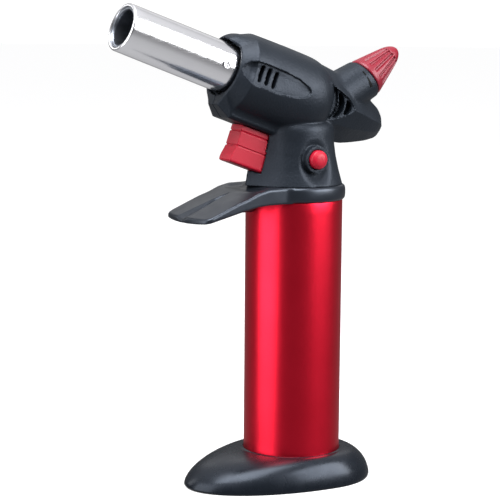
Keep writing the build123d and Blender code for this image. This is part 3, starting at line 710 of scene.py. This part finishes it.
def cut_openings(d, outer, x, y, z, s, v):
    """Takes the barrel's bore, the trigger's room, the floor's opening, the slots and the knob's bore out."""
    across = np.sqrt(v * v + y * y)
    d = cut(d, np.maximum(across - NOSE_BORE_R, s - NOSE_BORE_END_S))
    lip = np.maximum(np.maximum(11.1 - across, across - NOSE_BORE_R - 1), np.abs(s - 54.4) - 0.45)
    d = np.minimum(d, lip)
    room_s, room_v = TRIGGER_ROOM_CENTRE
    d = cut(d, box_field(s - room_s, v - room_v, y, TRIGGER_ROOM_HALF, 0.3))
    d = cut(d, np.maximum(np.sqrt(x * x + y * y) - NECK_FLOOR_BORE_R, z - NECK_FLOOR_Z))
    for slot_s, slot_v in SLOTS:
        lean = slot_s + SLOT_LEAN * (v - slot_v)
        slot = np.sqrt((s - lean) ** 2 + np.maximum(np.abs(v - slot_v) - SLOT_HALF, 0) ** 2) - SLOT_R
        d = cut(d, np.maximum(slot, np.maximum(9 - np.abs(y), -(outer + SLOT_WALL - 0.4))))
    d = cut(d, np.maximum(crescents(s, v, y), -(outer + VENT_WALL - 0.6)))
    along, off = in_plane(x, z, KNOB_BASE, KNOB_OUT)
    return cut(d, np.maximum(np.sqrt(off * off + y * y) - BOSS_BORE_R, -BOSS_BORE_DEPTH - along))


def add_button_guide(d, x, y, z):
    """Adds the ring round the lock button, and takes the bores of its cap and its stem out."""
    from_button = np.sqrt((x - BUTTON_X) ** 2 + (z - BUTTON_Z) ** 2)
    ring_start, ring_end = BUTTON_RING_Y
    ring = np.abs(from_button - BUTTON_RING_R) - BUTTON_RING_HALF
    ring = np.maximum(ring, np.maximum(ring_start - y, y - ring_end))
    d = blend_union(d, ring, 0.5)
    d = cut(d, np.maximum(from_button - BUTTON_BORE_R, y - BUTTON_BORE_END_Y))
    return cut(d, np.maximum(from_button - BUTTON_STEM_BORE_R, y - BUTTON_STEM_BORE_END_Y))


def casing_field(side):
    """The field of one half of the casing. side is -1 for the half with the lock button."""

    def field(x, y, z):
        outer, s, v = casing_outer(x, y, z)
        if side < 0:
            ball = np.sqrt((x - BUTTON_X) ** 2 + (y - BUTTON_HOLLOW_Y) ** 2 + (z - BUTTON_Z) ** 2)
            outer = blend_cut(outer, ball - BUTTON_HOLLOW_R, 1.6)
        d = np.maximum(outer, -(outer + wall_thickness(s, v, y)))
        d = np.minimum(d, np.maximum(posts_field(x, y, z, s, v, side), outer + POST_GAP))
        d = cut_openings(d, outer, x, y, z, s, v)
        if side < 0:
            d = add_button_guide(d, x, y, z)
        for place in SCREW_PLACES:
            if side > 0:
                recess = np.maximum(from_screw(s, v, place) - SCREW_HEAD_R, place[2] - SCREW_HEAD_HEIGHT - y)
                d = cut(d, recess)
            d = cut(d, np.maximum(from_screw(s, v, place) - SCREW_R, np.abs(y) - SCREW_DEPTHS[side]))
        pin = np.sqrt((x - LEVER_PIVOT[0]) ** 2 + (z - LEVER_PIVOT[2]) ** 2) - PIN_BORE_R
        d = cut(d, np.maximum(pin, np.abs(y) - PIN_BORE_HALF))
        return -blend_union(-d, -(SEAM_GAP - side * y), 0.3)

    return field


def make_casing(side, name, node):
    """One half of the casing."""
    low = low_mm(node) - CASING_MARGIN
    high = high_mm(node) + CASING_MARGIN
    vertices, faces = surface_net(casing_field(side), low, high, CASING_CELL)
    make_piece(
        name, vertices, faces, HOUSING, MATERIALS["casing_plastic"], 60, (node,))


make_casing(-1, "left_casing_shell", "casing_left")
make_casing(1, "right_casing_shell", "casing_right")

# ------------------------------------------------------------------ finger guard

COLLAR_R = 21.85
COLLAR_BULGE = 0.35
GUARD_BORE_R = 16.0
WING_HALF = 17.25
WING_TIP_X = -53.3
WING_TIP_BOW = 3.0
WING_CROWN = 0.9
WEB_DEPTH = 4.9
WEB_WIDTH = 4.6
VALLEY_DEPTH = 1.6
GROOVE_START_X = -31.0
GROOVE_DEPTH = 1.25
GROOVE_SPREAD = 0.17
GROOVE_HALF_MAX = 4.2
TANK_CLEARANCE = 0.06
GUARD_CELL = 0.4
GUARD_MARGIN = 0.8

# Outlines of the wing from the side: (x, z) of its top and of its underside.
wing_top = eased([
    (-58, 116.5), (-52.5, 118.4), (-38.1, 124.3), (-33.2, 125.9), (-28.4, 128.0), (-23.4, 129.2),
    (-10, 129.5),
], 1.5)
wing_low = eased([
    (-58, 115.0), (-52, 116.5), (-35.1, 120.8), (-28.3, 122.3), (-23.4, 122.7), (-10, 122.9),
], 1.5)


def collar_field(r, z):
    """The slightly bulged ring on the tank."""
    middle = (TANK_TOP + GUARD_TOP) / 2
    half = (GUARD_TOP - TANK_TOP) / 2
    bulge = COLLAR_BULGE * (1 - ((z - middle) / half) ** 2)
    return -blend_union(-(r - COLLAR_R - bulge), -(np.abs(z - middle) - half), 1.6)


def wing_field(x, y, z, r):
    """The wing in front, with a valley and a V groove on top and a web below."""
    bow = 1 - (y / WING_HALF) ** 2
    valley = VALLEY_DEPTH * smooth_step(r, 33.0, 25.0) * (1 - smooth_step(np.abs(y), 10.5, 15.0))
    groove_half = np.clip((GROOVE_START_X - x) * GROOVE_SPREAD, 0.01, GROOVE_HALF_MAX)
    groove = GROOVE_DEPTH * np.clip(1 - np.abs(y) / groove_half, 0, 1) * smooth_step(-x, 31, 38)
    top = z - (wing_top(x) + WING_CROWN * bow - groove - valley)
    web = WEB_DEPTH * np.exp(-np.abs(y) / WEB_WIDTH) * smooth_step(x, -50, -22)
    low = (wing_low(x) - web) - z
    tip = (WING_TIP_X - WING_TIP_BOW * bow) - x
    plan = -blend_union(WING_HALF - np.abs(y), -tip, 3.0)
    wing = -blend_union(-plan, -top * 0.93, 1.0)
    wing = -blend_union(-wing, -low * 0.93, 0.6)
    return np.maximum(wing, x + 8)


def guard_field(x, y, z):
    """The collar and the wing as one moulding, bored for the tank and the valve."""
    r = np.sqrt(x * x + y * y)
    d = blend_union(collar_field(r, z), wing_field(x, y, z, r), 1.2)
    d = cut(d, np.maximum(r - TANK_R - TANK_CLEARANCE, z - TANK_TOP))
    d = np.maximum(d, z - GUARD_TOP + 0.02)
    return cut(d, r - GUARD_BORE_R)


def make_guard():
    """The collar with the finger guard."""
    low = low_mm("finger_guard") - GUARD_MARGIN
    high = high_mm("finger_guard") + GUARD_MARGIN
    vertices, faces = surface_net(guard_field, low, high, GUARD_CELL)
    make_piece(
        "guard_moulding", vertices, faces, HOUSING, MATERIALS["guard_plastic"], 60, ("finger_guard",))


make_guard()

# ------------------------------------------------------------------ base

BASE_CENTRE_X = 6.0
BASE_FRONT_HALF = BASE_CENTRE_X - low_mm("base")[0]
BASE_REAR_HALF = high_mm("base")[0] - BASE_CENTRE_X
BASE_SIDE_HALF = high_mm("base")[1]
BASE_EDGE_Z = 1.0
BASE_FLANK_POWER = 2.2
BASE_DOME_POWER = 1 / 1.66
BASE_STEPS = 40
SEAT_TOP = high_mm("base")[2]
SEAT_R = TANK_R + 0.9
SEAT_STEP = 0.25
PORT_R = 5.0


def base_ring(share, z, inner_r, segments):
    """A ring between the outline (share 0) and a circle around the tank's axis (share 1)."""
    ring = []
    for index in range(segments):
        turn = 2 * pi * index / segments
        length = BASE_REAR_HALF if cos(turn) > 0 else BASE_FRONT_HALF
        outer = np.array((BASE_CENTRE_X + length * cos(turn), BASE_SIDE_HALF * sin(turn)))
        inner = np.array((inner_r * cos(turn), inner_r * sin(turn)))
        spot = outer * (1 - share) + inner * share
        ring.append((spot[0], spot[1], z))
    return ring


def make_base():
    """The domed foot with a flat underside, the port in it and the seat around the tank."""
    segments = 160
    bore_r = TANK_R + TANK_CLEARANCE
    levels = [(1, 0, PORT_R), (0.05, 0, SEAT_R), (0.022, 0.12, SEAT_R)]
    for step in range(BASE_STEPS + 1):
        share = 1 - cos(pi / 2 * step / BASE_STEPS)
        height = (1 - (1 - share) ** BASE_FLANK_POWER) ** BASE_DOME_POWER
        levels.append((share, BASE_EDGE_Z + (SEAT_TOP - BASE_EDGE_Z - SEAT_STEP) * height, SEAT_R))
    levels += [
        (1, SEAT_TOP - 0.02, SEAT_R - 0.25), (1, SEAT_TOP, SEAT_R - 0.45), (1, SEAT_TOP - 0.3, bore_r),
        (1, SEAT_Z, bore_r), (1, SEAT_Z, PORT_R),
    ]
    vertices = [spot for share, z, inner_r in levels for spot in base_ring(share, z, inner_r, segments)]
    faces = ring_faces(len(levels), segments, True)
    make_piece(
        "foot_moulding", vertices, faces, HOUSING, MATERIALS["base_plastic"], 50, ("base",))


make_base()

# ------------------------------------------------------------------ tank

TANK_WALL = 0.9
TANK_EDGE_R = 0.3
TANK_BANDS = 24


def make_tube(name, profile, origin, axis, segments, node, material, smooth_angle=40):
    """A turned part whose profile is a closed loop, in place of a CAD node of the housing."""
    vertices = turned_rings(profile, origin, axis, segments)
    faces = ring_faces(len(profile), segments, True)
    make_piece(name, vertices, faces, HOUSING, MATERIALS[material], smooth_angle, (node,))


def make_tank():
    """The tube that is the handle, with a rounded top edge."""
    edge_z = TANK_TOP - TANK_EDGE_R
    edge = corner_arc((edge_z, TANK_R - TANK_EDGE_R), TANK_EDGE_R, 90, 0, 4)
    profile = [(SEAT_Z, TANK_R - TANK_WALL), (SEAT_Z, TANK_R)]
    profile += [(SEAT_Z + (edge_z - SEAT_Z) * band / TANK_BANDS, TANK_R) for band in range(1, TANK_BANDS)]
    profile += edge + [(TANK_TOP, TANK_R - TANK_WALL)]
    make_tube("tank_tube", profile, (0, 0, 0), (0, 0, 1), 192, "tank_sleeve", "red_anodised", 35)


make_tank()

# ------------------------------------------------------------------ barrel

BARREL_LENGTH = 66.0
BARREL_WALL = 0.9
MOUTH_ROLL = 0.95
LINER_BORE = 7.4
LINER_WALL = 0.7
LINER_REAR_S = 43


def make_barrel():
    """The outer tube with its mouth rolled inwards over the liner's rim."""
    flare = (BARREL_REAR_R - BARREL_R) / BARREL_LENGTH
    profile = [(1.6, 8.75), (0.7, 8.6)]
    profile += corner_arc((MOUTH_ROLL, BARREL_R - MOUTH_ROLL), MOUTH_ROLL, 200, 90, 10)
    profile += [(s, BARREL_R + flare * s) for s in (6, 14, 24, 36, 48, 58, BARREL_LENGTH)]
    profile += [(BARREL_LENGTH, BARREL_REAR_R - BARREL_WALL), (2.4, BARREL_R - BARREL_WALL)]
    make_tube("barrel_tube", profile, MUZZLE, BACK, 192, "burner_tube", "polished_steel")


def make_liner():
    """The inner tube, flared to a flat rim at the muzzle."""
    outer = LINER_BORE + LINER_WALL
    profile = [
        (LINER_REAR_S, LINER_BORE), (2.0, LINER_BORE), (1.1, LINER_BORE + 0.12), (0.75, LINER_BORE + 0.4),
        (0.65, 8.3), (0.75, 8.55), (1.2, 8.55), (1.3, outer), (LINER_REAR_S, outer),
    ]
    make_tube("liner_tube", profile, MUZZLE, BACK, 160, "burner_liner", "liner_steel")


make_barrel()
make_liner()

# ------------------------------------------------------------------ gas knob

KNOB_R = 8.9
KNOB_LENGTH = 22.2
KNOB_GAP = 0.4
KNOB_BORE_R = 2.42
KNOB_BORE_DEPTH = 12.2
FLUTES = 15
FLUTE_HALF = 0.85
FLUTE_DEPTH = 1.0
FLUTE_START = (3.1, 4.0)
FLUTE_END = (16.2, 17.2)
CENTRE_HOLE_R = 0.02
SEGMENTS_PER_FLUTE = 22
knob_radius = eased([
    (1.6, KNOB_R), (5, 8.0), (9, 6.9), (13, 5.8), (16.5, 4.8), (19, 3.75), (20.8, 2.5), (21.8, 1.2),
    (KNOB_LENGTH, 0.2),
], 0.9)


def spokes_across(axis):
    """Two directions square to an axis that lies in the middle plane."""
    side = np.cross(axis, (0.0, 1.0, 0.0))
    return side, np.cross(axis, side)


def fluted_radius(along, turn):
    """The knob's radius, less in the grooves than between them."""
    r = float(knob_radius(along))
    pitch = 2 * pi / FLUTES
    from_groove = abs((turn + pitch / 2) % pitch - pitch / 2) * r
    inside = 1 - float(smooth_step(from_groove, FLUTE_HALF * 0.3, FLUTE_HALF * 1.2))
    held = float(smooth_step(along, *FLUTE_START) * (1 - smooth_step(along, *FLUTE_END)))
    return r - FLUTE_DEPTH * inside * held


def make_knob():
    """A pointed cap with narrow grooves between a plain skirt and a plain tip."""
    segments = FLUTES * SEGMENTS_PER_FLUTE
    skirt = [
        (KNOB_BORE_DEPTH, CENTRE_HOLE_R), (KNOB_BORE_DEPTH, KNOB_BORE_R), (KNOB_GAP, KNOB_BORE_R),
        (KNOB_GAP, KNOB_R - 0.5), (KNOB_GAP + 0.15, KNOB_R - 0.15), (KNOB_GAP + 0.5, KNOB_R), (1.3, KNOB_R),
    ]
    stations = np.concatenate([
        np.linspace(1.6, 3.0, 4), np.linspace(3.2, 4.4, 7), np.linspace(5, 15.6, 18),
        np.linspace(16.0, 17.4, 8), KNOB_LENGTH - 4.4 * np.linspace(1, 0.05, 16) ** 1.5,
    ])
    side, other = spokes_across(KNOB_OUT)
    rings = skirt + [(along, None) for along in stations] + [(KNOB_LENGTH, CENTRE_HOLE_R)]
    vertices = []
    for along, radius in rings:
        for index in range(segments):
            turn = 2 * pi * index / segments
            r = fluted_radius(along, turn) if radius is None else radius
            vertices.append(KNOB_BASE + KNOB_OUT * along + (side * cos(turn) + other * sin(turn)) * r)
    faces = ring_faces(len(rings), segments, False) + end_caps(len(rings), segments)
    # The knob takes the darker red, which carries painted shade.
    make_piece(
        "knob_cap", vertices, faces, "gas_knob_body", MATERIALS["knob_red_shaded"], 50, ("gas_knob",))


make_knob()

# ------------------------------------------------------------------ marks on the boss

MARK_STEPS = 9
MARK_LIFT = 0.16
MARK_ROOT = -0.3


def boss_mark(name, turns, widths, middle):
    """A thin raised mark that follows the boss's side."""
    side, other = spokes_across(BOSS_OUT)
    rings = []
    for turn, width in zip(turns, widths):
        spoke = side * cos(turn) + other * sin(turn)
        for along, lift in (
            (middle - width, MARK_ROOT), (middle - width, MARK_LIFT),
            (middle + width, MARK_LIFT), (middle + width, MARK_ROOT),
        ):
            rings.append(KNOB_BASE + BOSS_OUT * along + spoke * (BOSS_R - BOSS_FLARE * along + lift))
    faces = ring_faces(len(turns), 4, False) + end_caps(len(turns), 4)
    make_piece(name, rings, faces, HOUSING, MATERIALS["mark_black"], 30, ())


boss_mark("flow_mark_bar", np.radians(np.linspace(52, 65, MARK_STEPS)), np.full(MARK_STEPS, 0.28), -3.3)
boss_mark(
    "flow_mark_wedge", np.radians(np.linspace(70, 100, MARK_STEPS)), np.linspace(0.12, 0.75, MARK_STEPS),
    -3.2)

# ------------------------------------------------------------------ trigger and lock button

TRIGGER_FRONT_S = 65.75
TRIGGER_LIP = 1.1
TRIGGER_HALF = 4.68
TRIGGER_STEP = 0.16
TRIGGER_TOP_V = -20.1
TRIGGER_BAND_V = -22.6
TRIGGER_GROOVE_V = -29.0
TRIGGER_LOW_V = -36.4
TRIGGER_GROOVE_R = 0.36
PRONG_SLOPE = 0.822
PRONG_INNER_HALF = 3.4
TRIGGER_CELL = 0.22
TRIGGER_MARGIN = 0.8


def pad_field(s, v, y):
    """The finger pad, with a stepped band on top, a groove across it and a flared lip."""
    front = TRIGGER_FRONT_S - TRIGGER_LIP * smooth_step(-v, 28.6, 35.0)
    half = TRIGGER_HALF - TRIGGER_STEP * (v > TRIGGER_BAND_V)
    rear = np.where(v < -27.2, 84.0, 80.0)
    pad = -blend_union(-(np.abs(y) - half), s - front, 0.35)
    pad = -blend_union(-pad, v - TRIGGER_LOW_V, 1.1)
    pad = np.maximum(pad, v - TRIGGER_TOP_V)
    pad = np.maximum(pad, s - rear)
    for line in (TRIGGER_BAND_V, TRIGGER_GROOVE_V):
        pad = np.maximum(pad, TRIGGER_GROOVE_R - np.sqrt((v - line) ** 2 + np.minimum(pad, 0) ** 2))
    return pad


def prong_field(x, y, z):
    """The two prongs behind the pad, with the slope on top that lifts the lever."""
    nose_z = LEVER_PIVOT[2] - 1.0
    prong = np.maximum((z - nose_z - PRONG_SLOPE * (-10.0 - x)) * 0.77, 131.3 - z + 0.35 * (-6.8 - x))
    prong = np.maximum(prong, x + 6.9)
    prong = np.maximum(prong, -16.8 - x)
    prong = np.maximum(prong, np.abs(y) - TRIGGER_HALF)
    return np.where(x > -14.2, np.maximum(prong, PRONG_INNER_HALF - np.abs(y)), prong)


def trigger_field(x, y, z):
    """The pad and its prongs."""
    s, v = in_plane(x, z, MUZZLE, BACK)
    return np.minimum(pad_field(s, v, y), prong_field(x, y, z))


def make_trigger():
    """The red trigger."""
    low = low_mm("trigger") - TRIGGER_MARGIN
    high = high_mm("trigger") + TRIGGER_MARGIN
    vertices, faces = surface_net(trigger_field, low, high, TRIGGER_CELL)
    make_piece(
        "trigger_pad", vertices, faces, "trigger_body", MATERIALS["red_plastic"], 50, ("trigger",))


BUTTON_CAP_END = 5.2
BUTTON_STEM_R = 2.0
BUTTON_STEM_END = 13.4


def make_button():
    """A low dome with a soft step around it, on a stem."""
    profile = [
        (0.0, CENTRE_HOLE_R), (0.02, 1.0), (0.12, 1.9), (0.3, 2.5), (0.55, 2.95), (0.75, 3.1), (0.85, 3.3),
        (1.0, 3.55), (1.3, 3.85), (1.75, BUTTON_R), (BUTTON_CAP_END, BUTTON_R),
        (BUTTON_CAP_END, BUTTON_STEM_R), (BUTTON_STEM_END, BUTTON_STEM_R), (BUTTON_STEM_END, CENTRE_HOLE_R),
    ]
    segments = 96
    vertices = turned_rings(profile, (BUTTON_X, BUTTON_FACE_Y, BUTTON_Z), (0, 1, 0), segments)
    faces = ring_faces(len(profile), segments, False) + end_caps(len(profile), segments)
    make_piece(
        "lock_button_cap", vertices, faces, "lock_button_body", MATERIALS["red_plastic"], 40,
        ("lock_button",))


make_trigger()
make_button()

# ------------------------------------------------------------------ camera, in metres from here on

LENS_MM = 126.0
SENSOR_MM = 36.0
CAMERA_AZIMUTH = radians(-32.0)
CAMERA_PITCH = radians(8.047)
CAMERA_ROLL = radians(0.470)
CAMERA_DISTANCE = 0.761
AIM_ACROSS = -0.01884
AIM_HEIGHT = 0.10003


def make_camera():
    """A long lens in front of the muzzle's left side, looking a little down."""
    level = cos(CAMERA_PITCH)
    forward = Vector((-sin(CAMERA_AZIMUTH) * level, cos(CAMERA_AZIMUTH) * level, -sin(CAMERA_PITCH)))
    right = Vector((cos(CAMERA_AZIMUTH), sin(CAMERA_AZIMUTH), 0))
    up = right.cross(forward)
    turned_right = right * cos(CAMERA_ROLL) + up * sin(CAMERA_ROLL)
    turned_up = up * cos(CAMERA_ROLL) - right * sin(CAMERA_ROLL)
    aim = right * AIM_ACROSS + Vector((0, 0, AIM_HEIGHT))
    place = aim - forward * CAMERA_DISTANCE
    data = bpy.data.cameras.new("camera")
    data.sensor_width = SENSOR_MM
    data.lens = LENS_MM
    camera = bpy.data.objects.new("camera", data)
    turn = Matrix((turned_right, turned_up, -forward)).transposed().to_4x4()
    camera.matrix_world = Matrix.Translation(place) @ turn
    bpy.context.scene.collection.objects.link(camera)
    bpy.context.scene.camera = camera


make_camera()

# ------------------------------------------------------------------ lights


def area_light(name, azimuth, height, distance, size, power, aim_height=0.1):
    """A soft rectangular light, placed by its angle around the object from the camera's direction."""
    data = bpy.data.lights.new(name, "AREA")
    data.shape = "RECTANGLE"
    data.size, data.size_y = size
    data.energy = power
    light = bpy.data.objects.new(name, data)
    turn = CAMERA_AZIMUTH - pi / 2 + radians(azimuth)
    place = Vector((cos(turn) * distance, sin(turn) * distance, height))
    aim = Vector((0, 0, aim_height))
    facing = (place - aim).to_track_quat("Z", "Y").to_matrix().to_4x4()
    light.matrix_world = Matrix.Translation(place) @ facing
    bpy.context.scene.collection.objects.link(light)


area_light("left_softbox", -63, 0.26, 0.85, (0.78, 0.9), 8)
area_light("right_softbox", 69, 0.455, 0.85, (0.8, 0.6), 16)
area_light("front_left_softbox", -116, 0.42, 1.0, (0.3, 0.5), 0.8)
area_light("top_softbox", -20, 1.1, 0.35, (0.8, 0.8), 23, aim_height=0.15)
area_light("back_softbox", 180, 0.75, 1.2, (1.2, 0.5), 1.0)

# Brightness of the room by height: 0 is straight down, 0.5 the horizon and 1 straight up.
ROOM = (
    (0.0, 0.6), (0.2, 0.52), (0.33, 0.3), (0.495, 0.08), (0.505, 0.14), (0.7, 0.14), (0.86, 0.9), (1.0, 1.3),
)
ROOM_BLUE = 1.02


def make_world():
    """A studio that is dark at eye level, bright above, and pale below."""
    world = bpy.data.worlds.new("studio")
    bpy.context.scene.world = world
    world.use_nodes = True
    tree = world.node_tree
    background = tree.nodes["Background"]
    direction = tree.nodes.new("ShaderNodeTexCoord").outputs["Generated"]
    parts = tree.nodes.new("ShaderNodeSeparateXYZ")
    tree.links.new(direction, parts.inputs["Vector"])
    height = between(tree, parts.outputs["Z"], 0, 1, -1, 1)
    ramp = tree.nodes.new("ShaderNodeValToRGB")
    tree.links.new(height, ramp.inputs["Fac"])
    stops = ramp.color_ramp.elements
    while len(stops) < len(ROOM):
        stops.new(0.5)
    # Every place comes before any colour, because the stops sort themselves as they move.
    for stop, (place, _) in zip(stops, ROOM):
        stop.position = place
    for stop, (_, level) in zip(stops, ROOM):
        stop.color = (level, level, level * ROOM_BLUE, 1)
    tree.links.new(ramp.outputs["Color"], background.inputs["Color"])
    background.inputs["Strength"].default_value = 1.0


make_world()

# ------------------------------------------------------------------ floor and backdrop

ROOM_RADIUS = 8.0
DOME_BANDS = 16
DOME_SEGMENTS = 64
PAINT = (0.3, 0.3, 0.3, 1)
FLOOR_GLOW = 0.75
BACKDROP_GLOW = 1.0


def make_stage(name, vertices, faces, glow):
    """A pale matt surface for the floor or the backdrop, which glows a little and isn't mirrored."""
    mesh = bpy.data.meshes.new(name)
    mesh.from_pydata(vertices, [], faces)
    stage = bpy.data.objects.new(name, mesh)
    bpy.context.scene.collection.objects.link(stage)
    material, _, shader, _ = new_material(name + "_paint")
    shader.inputs["Base Color"].default_value = PAINT
    shader.inputs["Roughness"].default_value = 0.9
    shader.inputs["Specular IOR Level"].default_value = 0.1
    shader.inputs["Emission Color"].default_value = (1, 1, 1, 1)
    shader.inputs["Emission Strength"].default_value = glow
    mesh.materials.append(material)
    stage.visible_glossy = False
    stage.visible_diffuse = False
    return stage


def make_floor():
    """A plain pale floor that reaches the backdrop."""
    corners = [(x * ROOM_RADIUS, y * ROOM_RADIUS, 0) for x, y in ((-1, -1), (1, -1), (1, 1), (-1, 1))]
    make_stage("floor", corners, [(0, 1, 2, 3)], FLOOR_GLOW)


def make_backdrop():
    """A plain pale dome behind the object."""
    rises = [pi / 2 * band / DOME_BANDS for band in range(DOME_BANDS)]
    profile = [(ROOM_RADIUS * sin(rise), ROOM_RADIUS * cos(rise)) for rise in rises]
    rings = turned_rings(profile, (0, 0, 0), (0, 0, 1), DOME_SEGMENTS)
    faces = ring_faces(DOME_BANDS, DOME_SEGMENTS, False)
    faces.append(end_caps(DOME_BANDS, DOME_SEGMENTS)[1])
    backdrop = make_stage("backdrop", rings.tolist(), faces, BACKDROP_GLOW)
    backdrop.visible_shadow = False


make_floor()
make_backdrop()
bpy.context.scene.view_settings.view_transform = "Standard"
